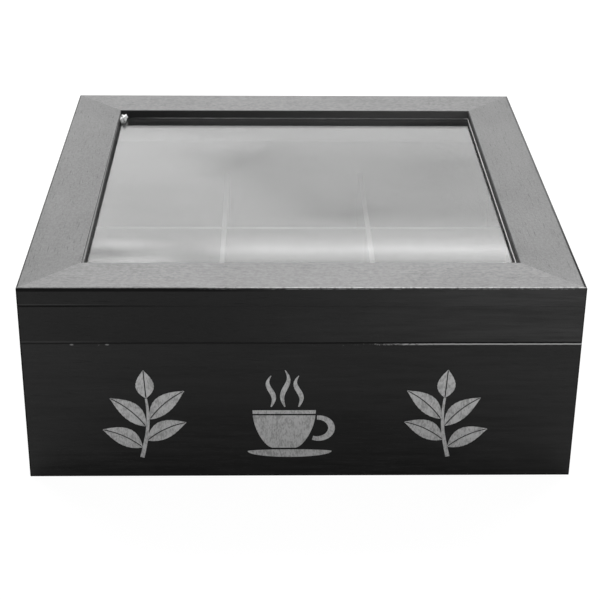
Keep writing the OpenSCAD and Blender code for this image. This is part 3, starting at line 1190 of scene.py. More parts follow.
@dataclass(frozen=True)
class Outline:
    """The planes of the closed box, read from the frame, and how near to them a place counts as on them."""

    half_w: float
    half_d: float
    inner: float
    seam: float
    joint: float
    top: float
    window: float
    bead: float = 2.1 * MM
    near: float = 0.75 * MM
    exact: float = 0.05 * MM
    shortest: float = 0.3 * MM
    body_inside: float = 0.35
    lip_matt: float = 0.9
    wear_reach: float = 0.9 * MM
    front_wear: float = 1.0
    top_wear: float = 0.45
    joint_wear: float = 0.12

    @classmethod
    def read(cls) -> "Outline":
        """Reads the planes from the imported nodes.

        Returns:
            The outline.
        """
        low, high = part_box("front_wall")
        rail_low, rail_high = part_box("frame_front_rail")
        return cls(half_w=high.x, half_d=-low.y, inner=-high.y, seam=high.z, joint=rail_low.z,
                   top=rail_high.z, window=-rail_high.y)

    def heights(self) -> SeamHeights:
        """Returns the planes that the front's marks follow."""
        return SeamHeights(self.half_d, self.half_w, self.seam, self.joint, self.top)

    def inside(self, place: Vector) -> float:
        """Says how much paler a place is painted for lining the closed box: most in the lid, less below it.
        The paleness partly stands in for light that comes in through the glass.

        Args:
            place: the middle of a face.

        Returns:
            The share of the inside tone, from 0 to 1.
        """
        reach = self.inner + self.exact
        if abs(place.x) > reach or abs(place.y) > reach or place.z > self.joint + self.bead:
            return 0.0
        return 1.0 if place.z > self.seam else self.body_inside

    def lip(self, place: Vector) -> float:
        """Says how matt a face is: the faces round the window, above the glass, were hardly rubbed.

        Args:
            place: the middle of a face.

        Returns:
            The least roughness there.
        """
        off = abs(max(abs(place.x), abs(place.y)) - self.window)
        return self.lip_matt if off < 2 * self.exact and place.z > self.joint + self.bead else 0.0

    def arris(self, first: Vector, second: Vector, above: bool) -> Arris:
        """Says how round a board's edge is from where it lies.

        Args:
            first: one end of the edge.
            second: the other end.
            above: whether the board lies above the edge.

        Returns:
            The kind of arris.
        """
        near, exact = self.near, self.exact
        middle, along = (first + second) / 2, second - first
        length = along.length
        off_x, off_y = abs(abs(middle.x) - self.half_w), abs(abs(middle.y) - self.half_d)
        if length < self.shortest:
            return Arris.CUT
        if abs(along.z) > 0.9 * length:
            outer = min(off_x, off_y) < exact and max(off_x, off_y) < near
            return Arris.CHAMFERED if outer else Arris.JOINT
        if max(abs(along.x), abs(along.y)) < 0.98 * length:
            return Arris.JOINT
        if abs(middle.z - self.top) < near:
            away, reach = (middle.y, self.half_d) if abs(along.x) > abs(along.y) else (middle.x, self.half_w)
            if abs(abs(away) - reach) < near:
                return Arris.CHAMFERED
            if abs(abs(away) - self.window) < near:
                return Arris.WINDOW
        outside = min(off_x, off_y) < exact
        if outside and middle.z < exact:
            return Arris.FOOT
        if outside and min(abs(middle.z - self.joint), abs(middle.z - self.seam)) < exact:
            if above:
                return Arris.UNDER
            return Arris.SEAM if abs(middle.z - self.seam) < exact else Arris.CUT
        return Arris.JOINT

    def wear(self, place: Vector) -> float:
        """Says how rubbed and pale a rounded place is: most along the top front edge, where this is also a
        painted highlight, and a little at the joints.

        Args:
            place: the middle of a rounded face.

        Returns:
            The wear, from 0 to 1.
        """
        if abs(place.z - self.top) < self.wear_reach:
            return self.front_wear if place.y < self.wear_reach - self.half_d else self.top_wear
        return self.joint_wear


def plain_arris(first: Vector, second: Vector) -> Arris:
    """Returns one rounding for every edge that is long enough to take it."""
    return Arris.EASED if (second - first).length > 0.6 * MM else Arris.CUT


@dataclass(frozen=True)
class Boards:
    """The painted boards of the box and the lid: walls, mitred frame and glazing beads."""

    outline: Outline
    rounding: float = 0.35 * MM
    walls: PaintedWood = PaintedWood("wall_paint")
    skirt: PaintedWood = PaintedWood("skirt_paint", left=0.2, right=2.6)
    # the crown tones on the frame's top faces are painted sheen
    front_rail: PaintedWood = PaintedWood("front_rail_paint", crown_tone=0.068, crown_coat=0.45, left=0.2,
                                          right=2.6, speckle=0.7, crown_left=0.74, crown_right=1.08)
    # the back rail's pale lip and the stiles' pale roll along the window are painted light
    back_rail: PaintedWood = PaintedWood("back_rail_paint", crown_tone=0.052, crown_coat=0.36, speckle=0.9,
                                         crown_left=0.8, crown_right=0.84, lip_tone=0.075, lip_left=0.25)
    stiles: PaintedWood = PaintedWood("stile_paint", crown_tone=0.040, crown_coat=0.26, speckle=0.6,
                                      crown_front=1.65, lip_tone=0.012, lip_left=2.6, lip_rolled=0.32)

    def finish_of(self, node: str, run: Run) -> PaintedWood:
        """Picks a board's paint.

        Args:
            node: the board's name.
            run: the axis its grain runs along.

        Returns:
            The paint, with painted shade and highlights along the seams on the front boards and the frame.
        """
        special = {"lid_front_wall": self.skirt, "frame_front_rail": self.front_rail,
                   "frame_back_rail": self.back_rail}
        plain = self.stiles if node.startswith("frame_") and run is Run.Y else self.walls
        finish = replace(special.get(node, plain), lip_top=self.outline.top)
        marked = node in ("front_wall", "lid_front_wall") or node.startswith("frame_")
        return replace(finish, marks=self.outline.heights()) if marked else finish

    def runs(self) -> dict[str, Run]:
        """Says which way the grain runs.

        Returns:
            The run of each board by name.
        """
        crosswise = ("front_wall", "back_wall", "lid_front_wall", "lid_back_wall", "frame_front_rail",
                     "frame_back_rail", "front_glazing_bead", "back_glazing_bead")
        lengthwise = ("left_wall", "right_wall", "lid_left_wall", "lid_right_wall", "frame_left_stile",
                      "frame_right_stile", "left_glazing_bead", "right_glazing_bead")
        return {**dict.fromkeys(crosswise, Run.X), **dict.fromkeys(lengthwise, Run.Y)}

    def build(self) -> None:
        """Dresses each board with eased arrises and its paint."""
        outline = self.outline
        for shift, (node, run) in enumerate(self.runs().items(), start=1):
            def kind_of(first: Vector, second: Vector, foot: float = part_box(node)[0].z) -> Arris:
                """Returns the kind of an arris of this board, which stands on its foot."""
                return outline.arris(first, second, min(first.z, second.z) < foot + outline.exact)

            mesh = eased_copy(node, self.rounding, kind_of, outline.wear, outline.inside, outline.lip)
            material = self.finish_of(node, run).material(node, run, shift)
            body = frame["nodes"][node]["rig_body"]
            finished(mesh, f"painted_{node}", material, body, [node])


@dataclass(frozen=True)
class Interior:
    """The dividers and the bottom panel."""

    rounding: float = 0.25 * MM
    board: PaintedBoard = PaintedBoard("inner_paint")
    # the bottom panel's paler crown tone is painted sheen
    bottom: PaintedBoard = PaintedBoard("bottom_paint", crown_tone=0.04, roughness=0.6, specular=0.3)

    def build(self) -> None:
        """Dresses the dividers and the bottom panel."""
        pieces = [(node, self.board, run, shift, "inner_board") for node, run, shift in (
            ("front_divider", Run.X, 20), ("rear_divider", Run.X, 21), ("left_divider", Run.Y, 22),
            ("right_divider", Run.Y, 23))]
        pieces.append(("bottom_panel", self.bottom, Run.X, 30, "bottom_board"))
        for node, finish, run, shift, slot in pieces:
            mesh = eased_copy(node, self.rounding, plain_arris)
            finished(mesh, f"painted_{node}", finish.material(node, run, shift), "box", [node])


class GeometryTree:
    """A Geometry Nodes tree with named inputs that is run once on a carrier object."""

    def __init__(self, name: str, values: dict[str, float | int]) -> None:
        """Opens a tree.

        Args:
            name: the tree's name.
            values: the value of each named input.
        """
        self.tree = bpy.data.node_groups.new(name, "GeometryNodeTree")
        self.values = values
        sockets = [("Geometry", "INPUT", "NodeSocketGeometry"), ("Geometry", "OUTPUT", "NodeSocketGeometry")]
        for label, value in values.items():
            kind = "NodeSocketInt" if isinstance(value, int) else "NodeSocketFloat"
            sockets.append((label, "INPUT", kind))
        for label, side, kind in sockets:
            self.tree.interface.new_socket(label, in_out=side, socket_type=kind)
        self.graph = Graph(self.tree)
        self.given = self.graph.add("NodeGroupInput").outputs

    def row(self, count: Any, start: NodeSocket, step: NodeSocket) -> NodeSocket:
        """Returns a row of points from a start and a step."""
        sockets = {"Count": count, "Start Location": start, "Offset": step}
        return self.graph.add("GeometryNodeMeshLine", sockets).outputs[0]

    def copies(self, points: NodeSocket, shape: NodeSocket, turn: Any = (0.0, 0.0, 0.0)) -> NodeSocket:
        """Returns a copy of a shape on each point."""
        sockets = {"Points": points, "Instance": shape, "Rotation": turn}
        return self.graph.add("GeometryNodeInstanceOnPoints", sockets).outputs[0]

    def fasteners(self, points: NodeSocket, facing: Any = 0.0) -> NodeSocket:
        """Sets the base mesh on points, as a driver leaves it: each at a turn of its own from the Seed input.

        Args:
            points: where they sit.
            facing: how far they are turned round X.

        Returns:
            The copies.
        """
        limits = {"Min": 0.0, "Max": math.pi, "Seed": self.given["Seed"]}
        spin = self.graph.add("FunctionNodeRandomValue", limits, data_type="FLOAT").outputs[1]
        return self.copies(points, self.given["Geometry"], self.graph.join(facing, z=spin))

    def moved(self, shape: NodeSocket, by: NodeSocket) -> NodeSocket:
        """Returns a shape moved by a vector."""
        return self.graph.add("GeometryNodeTransform", {0: shape, "Translation": by}).outputs[0]

    def run(self, shape: NodeSocket, material: Material, base: Mesh) -> Mesh:
        """Ends the tree in Realize Instances and Set Material, and runs it on a base mesh.

        Args:
            shape: the geometry to end with.
            material: its finish.
            base: what the tree gets as its geometry.

        Returns:
            The plain mesh that it makes.
        """
        real = self.graph.add("GeometryNodeRealizeInstances", {0: shape})
        dressed = self.graph.add("GeometryNodeSetMaterial", {0: real.outputs[0], "Material": material})
        self.graph.add("NodeGroupOutput", {0: dressed.outputs[0]})
        carrier = put(f"{self.tree.name}_carrier", base)
        modifier = carrier.modifiers.new(self.tree.name, "NODES")
        modifier.node_group = self.tree
        for item in self.tree.interface.items_tree:
            if item.in_out == "INPUT" and item.name in self.values:
                modifier[item.identifier] = self.values[item.name]
        return applied(carrier)


@dataclass(frozen=True)
class Window:
    """The glass pane, the wiped fillet of sealant round it, and a dab of glue left in one corner."""

    outline: Outline
    rounding: float = 0.2 * MM
    fillet: float = 0.4 * MM
    fillet_sides: int = 12
    dab: tuple[float, float, float] = (2.1 * MM, 4.2 * MM, 2.4 * MM)
    dab_inset: tuple[float, float, float] = (1.6 * MM, 3.9 * MM, 1.0 * MM)
    lumps: tuple[Point2, Point2] = ((1.9, 0.65), (5.0, 0.25))
    glass: FloatGlass = FloatGlass()
    sealant: Sealant = Sealant()
    glue: Glue = Glue()

    def fillet_mesh(self, material: Material) -> Mesh:
        """Sweeps a fillet round the window's edge.

        Args:
            material: the sealant.

        Returns:
            The swept mesh.
        """
        side = 2 * self.outline.window
        tree = GeometryTree("window_fillet", {
            "Width": side, "Depth": side, "Height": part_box("window_glass")[1].z, "Fillet": self.fillet})
        add, given = tree.graph.add, tree.given
        path = add("GeometryNodeCurvePrimitiveQuadrilateral", {"Width": given["Width"],
                                                               "Height": given["Depth"]})
        bar = add("GeometryNodeCurvePrimitiveCircle", {"Resolution": self.fillet_sides,
                                                       "Radius": given["Fillet"]})
        swept = add("GeometryNodeCurveToMesh", {"Curve": path.outputs[0], "Profile Curve": bar.outputs[0]})
        lifted = tree.moved(swept.outputs[0], tree.graph.join(z=given["Height"]))
        return tree.run(lifted, material, bpy.data.meshes.new("window_fillet_base"))

    def dab_mesh(self) -> Mesh:
        """Shapes a small lump of dried glue in the back left corner of the window.

        Returns:
            The mesh.
        """
        shape = bmesh.new()
        bmesh.ops.create_icosphere(shape, subdivisions=3, radius=1.0)
        edge = self.outline.window
        in_x, in_y, rise = self.dab_inset
        centre = Vector((in_x - edge, edge - in_y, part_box("window_glass")[1].z + rise))
        for vertex in shape.verts:
            lumps = sum(noise.noise(vertex.co * rate) * gain for rate, gain in self.lumps)
            vertex.co = centre + Vector(self.dab) * (1 + lumps) * vertex.co
        for face in shape.faces:
            face.smooth = True
        return made(shape, "glue_dab")

    def build(self) -> None:
        """Dresses the glass and adds the fillet and the dab."""
        mesh = eased_copy("window_glass", self.rounding, plain_arris)
        finished(mesh, "float_glass_pane", self.glass.material(), "lid", ["window_glass"])
        material = self.sealant.material()
        finished(self.fillet_mesh(material), "window_sealant", material, "lid")
        finished(self.dab_mesh(), "glue_dab", self.glue.material(), "lid")


def turned(profile: Sequence[Point2], tip: float, segments: int) -> BMesh:
    """Turns a profile round Z into a closed shape with a flat head and a pointed end.

    Args:
        profile: the radius and the height of each ring, from the head on.
        tip: the height of the point.
        segments: how many flats go round.

    Returns:
        The shape.
    """
    shape = bmesh.new()
    turns = [2 * math.pi * i / segments for i in range(segments)]
    rings = [[shape.verts.new((radius * math.cos(turn), radius * math.sin(turn), height)) for turn in turns]
             for radius, height in profile]
    pairs = [(i, (i + 1) % segments) for i in range(segments)]
    for near, far in zip(rings, rings[1:]):
        for i, j in pairs:
            shape.faces.new((near[i], far[i], far[j], near[j]))
    shape.faces.new(rings[0])
    point = shape.verts.new((0, 0, tip))
    for i, j in pairs:
        shape.faces.new((rings[-1][j], rings[-1][i], point))
    bmesh.ops.recalc_face_normals(shape, faces=shape.faces)
    return shape


@dataclass(frozen=True)
class Fasteners:
    """The hinge screws with their cross recesses and the brads in the underside."""

    steel: PlatedSteel = PlatedSteel("screw_steel", roughness=0.3)
    screw_sides: int = 40
    pitch: float = 0.9 * MM
    cone: float = 0.8 * MM
    root_share: float = 0.78
    thread_end: float = 1.6 * MM
    point: float = 1.2 * MM
    recess_reach: float = 1.15 * MM
    recess_width: float = 0.42 * MM
    recess_depth: float = 0.45 * MM
    recess_taper: tuple[float, float] = (0.35, 0.5)
    brad_sides: int = 24
    brad_head: tuple[float, float] = (1.0 * MM, 0.4 * MM)
    brad_shank: float = 0.5 * MM
    brad_point: float = 1.0 * MM
    brads_per_side: int = 3
    brad_spacing: float = 46 * MM

    def screw(self, head_r: float, shank_r: float, length: float) -> Mesh:
        """Turns one screw, with its head's face at the origin and its shank down.

        Args:
            head_r: the head's radius.
            shank_r: the shank's radius.
            length: the whole length.

        Returns:
            The screw's mesh.
        """
        crest, root, pitch = shank_r, shank_r * self.root_share, self.pitch
        profile: list[Point2] = [(head_r * 0.93, 0.0), (head_r, -0.06 * MM), (crest, -self.cone)]
        z = -self.cone - pitch * 0.6
        while z > self.thread_end - length:
            profile += [(root, z), (root, z - pitch * 0.35), (crest, z - pitch * 0.5),
                        (root, z - pitch * 0.65)]
            z -= pitch
        profile.append((root, self.point - length))
        return self.with_recess(made(turned(profile, -length, self.screw_sides), "screw"))

    def with_recess(self, mesh: Mesh) -> Mesh:
        """Cuts a tapered cross into a screw's head.

        Args:
            mesh: the plain screw.

        Returns:
            The cut mesh.
        """
        cutter = bmesh.new()
        short, narrow = self.recess_taper
        for turn in (0.0, math.pi / 2):
            block = bmesh.ops.create_cube(cutter, size=1.0)["verts"]
            for vert in block:
                deep = vert.co.z < 0
                reach = self.recess_reach * (short if deep else 1.0)
                width = self.recess_width * (narrow if deep else 1.0)
                height = -self.recess_depth if deep else 0.1 * MM
                vert.co = Vector((vert.co.x * 2 * reach, vert.co.y * width, height))
            bmesh.ops.rotate(cutter, verts=block, matrix=Matrix.Rotation(turn, 3, "Z"))
        tool, carrier = put("cross_tool", made(cutter, "cross_tool")), put("screw_carrier", mesh)
        cut = carrier.modifiers.new("cross", "BOOLEAN")
        cut.object = tool
        cut.operation = "DIFFERENCE"
        cut.use_self = True
        result = applied(carrier)
        bpy.data.objects.remove(tool)
        for face in result.polygons:
            face.use_smooth = abs(face.normal.z) < 0.9
        return result

    def screw_set(self, node: str, body: str, facing: int) -> None:
        """Sets a body's hinge screws on a grid of two hinges by two screws.

        Args:
            node: the node that the screws stand for.
            body: the body that they hold.
            facing: 1 where the heads face up, -1 where they face down.
        """
        low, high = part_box(node)
        leaf_low, leaf_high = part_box("right_hinge_box_leaf")
        head_r = (high.y - low.y) / 2
        hinge_x = (leaf_low.x + leaf_high.x) / 2
        tree = GeometryTree(f"{node}_grid", {
            "Hinge Distance": 2 * hinge_x,
            "Screw Spacing": 2 * (high.x - head_r - hinge_x),
            "Depth": (low.y + high.y) / 2,
            "Height": high.z if facing > 0 else low.z,
            "Facing": 0.0 if facing > 0 else math.pi,
            "Seed": 7,
        })
        graph, given = tree.graph, tree.given
        hinges, screws = (tree.row(2, graph.join(graph.math("MULTIPLY", given[distance], -0.5)),
                                   graph.join(given[distance]))
                          for distance in ("Hinge Distance", "Screw Spacing"))
        grid = graph.add("GeometryNodeRealizeInstances", {0: tree.copies(hinges, screws)}).outputs[0]
        heads = tree.moved(tree.fasteners(grid, given["Facing"]),
                           graph.join(y=given["Depth"], z=given["Height"]))
        material = self.steel.material(node, Run.X, 40 + facing)
        mesh = tree.run(heads, material, self.screw(head_r, head_r / 2, high.z - low.z))
        finished(mesh, f"cross_head_{node}", material, body, [node])

    def brads(self) -> None:
        """Sets the brads round the bottom panel's border."""
        node = "bottom_brads"
        low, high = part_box(node)
        head_r = self.brad_head[0]
        tree = GeometryTree("brad_border", {
            "Count": self.brads_per_side,
            "Spacing": self.brad_spacing,
            "Reach X": high.x - head_r,
            "Reach Y": high.y - head_r,
            "Height": low.z,
            "Seed": 3,
        })
        graph, given = tree.graph, tree.given
        half_run = graph.product(graph.less(given["Count"], 1), graph.product(given["Spacing"], -0.5))
        border = graph.add("GeometryNodeJoinGeometry")
        reach_x, reach_y = ([graph.product(given[reach], side) for side in (-1.0, 1.0)]
                            for reach in ("Reach X", "Reach Y"))
        rows = [(half_run, y, graph.join(x=given["Spacing"])) for y in reach_y]
        rows += [(x, half_run, graph.join(y=given["Spacing"])) for x in reach_x]
        for x, y, step in rows:
            graph.fill(border, {0: tree.row(given["Count"], graph.join(x, y, given["Height"]), step)})
        material = self.steel.material(node, Run.X, 50)
        mesh = tree.run(tree.fasteners(border.outputs[0]), material, self.brad(high.z - low.z))
        finished(mesh, "round_bottom_brads", material, "box", [node])

    def brad(self, length: float) -> Mesh:
        """Turns one brad, pointing up, with its slightly domed head at the origin.

        Args:
            length: the whole length.

        Returns:
            The brad's mesh.
        """
        (head_r, head_t), shank_r = self.brad_head, self.brad_shank
        profile = [(head_r * 0.55, 0.0), (head_r * 0.9, 0.05 * MM), (head_r, 0.14 * MM),
                   (head_r, head_t), (shank_r, head_t), (shank_r, length - self.brad_point)]
        mesh = made(turned(profile, length, self.brad_sides), "brad")
        for face in mesh.polygons:
            face.use_smooth = True
        return mesh

    def build(self) -> None:
        """Sets every screw and brad."""
        self.screw_set("hinge_box_screws", "box", 1)
        self.screw_set("hinge_lid_screws", "lid", -1)
        self.brads()


@dataclass(frozen=True)
class StopHinges:
    """The leaves and pins of the two stop hinges."""

    rounding: float = 0.14 * MM
    steel: PlatedSteel = PlatedSteel("hinge_steel")

    def build(self) -> None:
        """Dresses the leaves and pins."""
        parts = [(f"{side}_hinge_{part}", body) for side in ("left", "right")
                 for part, body in (("box_leaf", "box"), ("lid_leaf", "lid"), ("pin", "box"))]
        for shift, (node, body) in enumerate(parts, start=60):
            mesh = eased_copy(node, self.rounding, plain_arris)
            material = self.steel.material(node, Run.X, shift)
            finished(mesh, f"plated_{node}", material, body, [node])


@dataclass(frozen=True)
class FrontMotifs:
    """Three stencilled silver motifs on the front: a leaf sprig, a steaming cup and a second sprig."""

    outline: Outline
    thickness: float = 0.12 * MM
    sunk: float = 0.05 * MM
    foot: float = 10.0 * MM
    sprig_centres: tuple[float, float] = (-70.0 * MM, 65.0 * MM)
    sprig_sway: float = 1.6 * MM
    sprig_rise: float = 30 * MM
    sprig_tip: float = 44 * MM
    leaf_pairs: tuple[tuple[float, ...], ...] = ((0.22, 18.2 * MM, 9.5 * MM, 8.6 * MM),
                                                 (0.58, 16.0 * MM, 14.5 * MM, 8.2 * MM))
    leaf_bow: float = 1.3 * MM
    top_leaf_width: float = 7.6 * MM
    midrib: float = 0.5 * MM
    tooth: float = 0.22 * MM
    cup_centre: float = -5.0 * MM
    saucer_reach: float = 18.5 * MM
    bowl_heights: tuple[float, ...] = (4.8 * MM, 22.2 * MM, 24.0 * MM)
    handle_reach: Point2 = (6.0 * MM, 5.4 * MM)
    steam: tuple[tuple[float, ...], ...] = ((-8.2, 15.5, 0.0), (-2.2, 18.2, 0.5), (3.8, 15.5, 0.0))
    paint: SilverPaint = SilverPaint()

    def strip(self, path: Sequence[Point2], widths: Sequence[float]) -> Shape2:
        """Draws a stroke along a path.

        Args:
            path: the points along its middle.
            widths: its width at each point.

        Returns:
            The stroke's outline.
        """
        left: Shape2 = []
        right: Shape2 = []
        for i, (x, z) in enumerate(path):
            ax, az = path[max(i - 1, 0)]
            bx, bz = path[min(i + 1, len(path) - 1)]
            run = math.hypot(bx - ax, bz - az)
            nx, nz = -(bz - az) / run, (bx - ax) / run
            half = widths[i] / 2
            left.append((x + nx * half, z + nz * half))
            right.append((x - nx * half, z - nz * half))
        return left + right[::-1]

    def leaf(self, base: Point2, tip: Point2, width: float, bend: float) -> list[Shape2]:
        """Draws a leaf as two halves with a bare midrib between them.

        Args:
            base: where the leaf joins the stem.
            tip: its point.
            width: its greatest width.
            bend: how far its midrib bows to the left.

        Returns:
            The outlines of its halves.
        """
        dx, dz = tip[0] - base[0], tip[1] - base[1]
        length = math.hypot(dx, dz)
        nx, nz = -dz / length, dx / length
        halves = []
        for side in (1, -1):
            inner: Shape2 = []
            outer: Shape2 = []
            for t in shares(28):
                bow = bend * 4 * t * (1 - t)
                x, z = base[0] + dx * t + nx * bow, base[1] + dz * t + nz * bow
                belly = math.sin(math.pi * t ** 0.85) ** 0.9 * width / 2
                tooth = self.tooth * ((t * 9) % 1.0) * math.sin(math.pi * t)
                near = side * min(self.midrib / 2, belly)
                far = side * max(belly + tooth, self.midrib / 2)
                inner.append((x + nx * near, z + nz * near))
                outer.append((x + nx * far, z + nz * far))
            halves.append(inner + outer[::-1])
        return halves

    def sprig(self, centre: float, mirrored: int) -> list[Shape2]:
        """Draws a sprig of five leaves.

        Args:
            centre: where its foot stands across the front.
            mirrored: 1, or -1 to sway the other way.

        Returns:
            The outlines of its stem and leaves.
        """
        sway = self.sprig_sway * mirrored

        def stem(t: float) -> Point2:
            """Returns a point along the stem."""
            return (centre + sway * math.sin(2.2 * t) * 2, self.foot + self.sprig_rise * t)

        steps = shares(16)
        shapes = [self.strip([stem(t) for t in steps], [(1.9 - 0.9 * t) * MM for t in steps])]
        for t, reach, rise, width in self.leaf_pairs:
            for side in (-1, 1):
                x, z = stem(t + 0.06 * side * mirrored)
                tip = (stem(t)[0] + side * reach, z + rise)
                shapes += self.leaf((x + 0.9 * MM * side, z + 0.5 * MM), tip, width, side * self.leaf_bow)
        x, z = stem(1.0)
        tip = (x - 0.5 * sway, self.foot + self.sprig_tip)
        return shapes + self.leaf((x, z + 0.3 * MM), tip, self.top_leaf_width, 0.0)

    def cup(self) -> list[Shape2]:
        """Draws a cup on a saucer, with steam.

        Returns:
            The outlines.
        """
        x0, foot, steps = self.cup_centre, self.foot, shares(24)
        saucer: Shape2 = []
        for t in shares(47):
            angle = 2 * math.pi * t * 47 / 48
            sag = 3.0 if math.sin(angle) < 0 else 0.9
            saucer.append((x0 + self.saucer_reach * math.cos(angle),
                           foot + (3.0 + sag * math.sin(angle)) * MM))
        low, rim, high = (foot + height for height in self.bowl_heights)

        def half_width(z: float) -> float:
            """Returns the bowl's half width at a height."""
            t = (z - low) / (high - low)
            return (5.2 + 8.6 * math.sin(math.pi / 2 * t) ** 0.62) * MM

        def bowl(bottom: float, top: float) -> Shape2:
            """Returns the outline of the bowl between two heights."""
            heights = [bottom + (top - bottom) * t for t in steps]
            right, left = ([(x0 - 2.5 * MM + side * half_width(z), z) for z in heights] for side in (1, -1))
            return right + left[::-1]

        shapes = [saucer, bowl(low, rim - 0.8 * MM), bowl(rim, high)]
        hx, hz = x0 + 12.3 * MM, foot + 14.9 * MM
        arc = [math.radians(-112 + 206 * t) for t in steps]
        wide, tall = self.handle_reach
        handle = [(hx + wide * math.cos(a), hz + tall * math.sin(a)) for a in arc]
        shapes.append(self.strip(handle, [(2.0 + 0.9 * math.sin(math.pi * t)) * MM for t in steps]))
        widths = [max(0.25, 2.2 * math.sin(math.pi * (0.08 + 0.88 * t))) * MM for t in steps]
        for place, rise, phase in self.steam:
            waves = [1.7 * MM * math.sin(2 * math.pi * (t + phase)) * (0.6 + 0.4 * t) for t in steps]
            wisp = [(x0 + place * MM + wave, foot + (25.8 + rise * t) * MM) for t, wave in zip(steps, waves)]
            shapes.append(self.strip(wisp, widths))
        return shapes

    def raised(self, shapes: Sequence[Shape2], name: str) -> Mesh:
        """Raises flat outlines on the front face by the paint's thickness.

        Args:
            shapes: closed outlines across the front, as X and Z.
            name: the mesh's name.

        Returns:
            The mesh.
        """
        front = -self.outline.half_d
        shape = bmesh.new()
        for points in shapes:
            back, face = ([shape.verts.new((x, depth, z)) for x, z in points]
                          for depth in (front + self.sunk, front - self.thickness))
            sides = zip(back, back[1:] + back[:1], face[1:] + face[:1], face)
            for corners in (back, face, *sides):
                shape.faces.new(corners)
        bmesh.ops.recalc_face_normals(shape, faces=shape.faces)
        bmesh.ops.triangulate(shape, faces=[face for face in shape.faces if len(face.verts) > 4])
        return made(shape, name)

    def build(self) -> None:
        """Paints the three motifs."""
        left, right = self.sprig_centres
        motifs = {"left_sprig_motif": self.sprig(left, 1), "cup_motif": self.cup(),
                  "right_sprig_motif": self.sprig(right, -1)}
        for shift, (name, shapes) in enumerate(motifs.items(), start=70):
            material = self.paint.material(name, Run.Z, shift)
            finished(self.raised(shapes, name), name, material, "box")


@dataclass(frozen=True)
class View:
    """The camera that saw the box from the front and above, with its axis a little above the middle."""

    place: tuple[float, float, float] = (-13.8341 * MM, -686.0644 * MM, 379.9208 * MM)
    pitch: float = 0.4430
    yaw: float = 0.0258
    roll: float = 0.0115
    focal_px: float = 1513.84
    axis_px: Point2 = (305.0, 250.0)
    frame_px: float = 600.0
    sensor_mm: float = 36.0
    clip: Span = (0.02, 50.0)

    def build(self) -> None:
        """Makes the scene's camera."""
        data = bpy.data.cameras.new("camera")
        data.sensor_width = self.sensor_mm
        data.lens = self.focal_px / self.frame_px * self.sensor_mm
        data.clip_start, data.clip_end = self.clip
        data.shift_x = 0.5 - self.axis_px[0] / self.frame_px
        data.shift_y = self.axis_px[1] / self.frame_px - 0.5
        camera = put("camera", data)
        level_run = math.cos(self.pitch)
        ahead = math.cos(self.yaw) * level_run
        forward = Vector((math.sin(self.yaw) * level_run, ahead, -math.sin(self.pitch)))
        level = Vector((math.cos(self.yaw), -math.sin(self.yaw), 0))
        upward = level.cross(forward)
        right = math.cos(self.roll) * level + math.sin(self.roll) * upward
        up = -math.sin(self.roll) * level + math.cos(self.roll) * upward
        turn = Matrix((right, up, -forward)).transposed().to_4x4()
        camera.matrix_world = Matrix.Translation(Vector(self.place)) @ turn
        bpy.context.scene.camera = camera


@dataclass(frozen=True)
class Stroke:
    """A soft patch of light or shade on the cove, in metres across and degrees up."""

    across: float
    up: float
    half_width: float
    half_height: float
    gain: float
    tilt: float = 0.0
    straight: bool = False


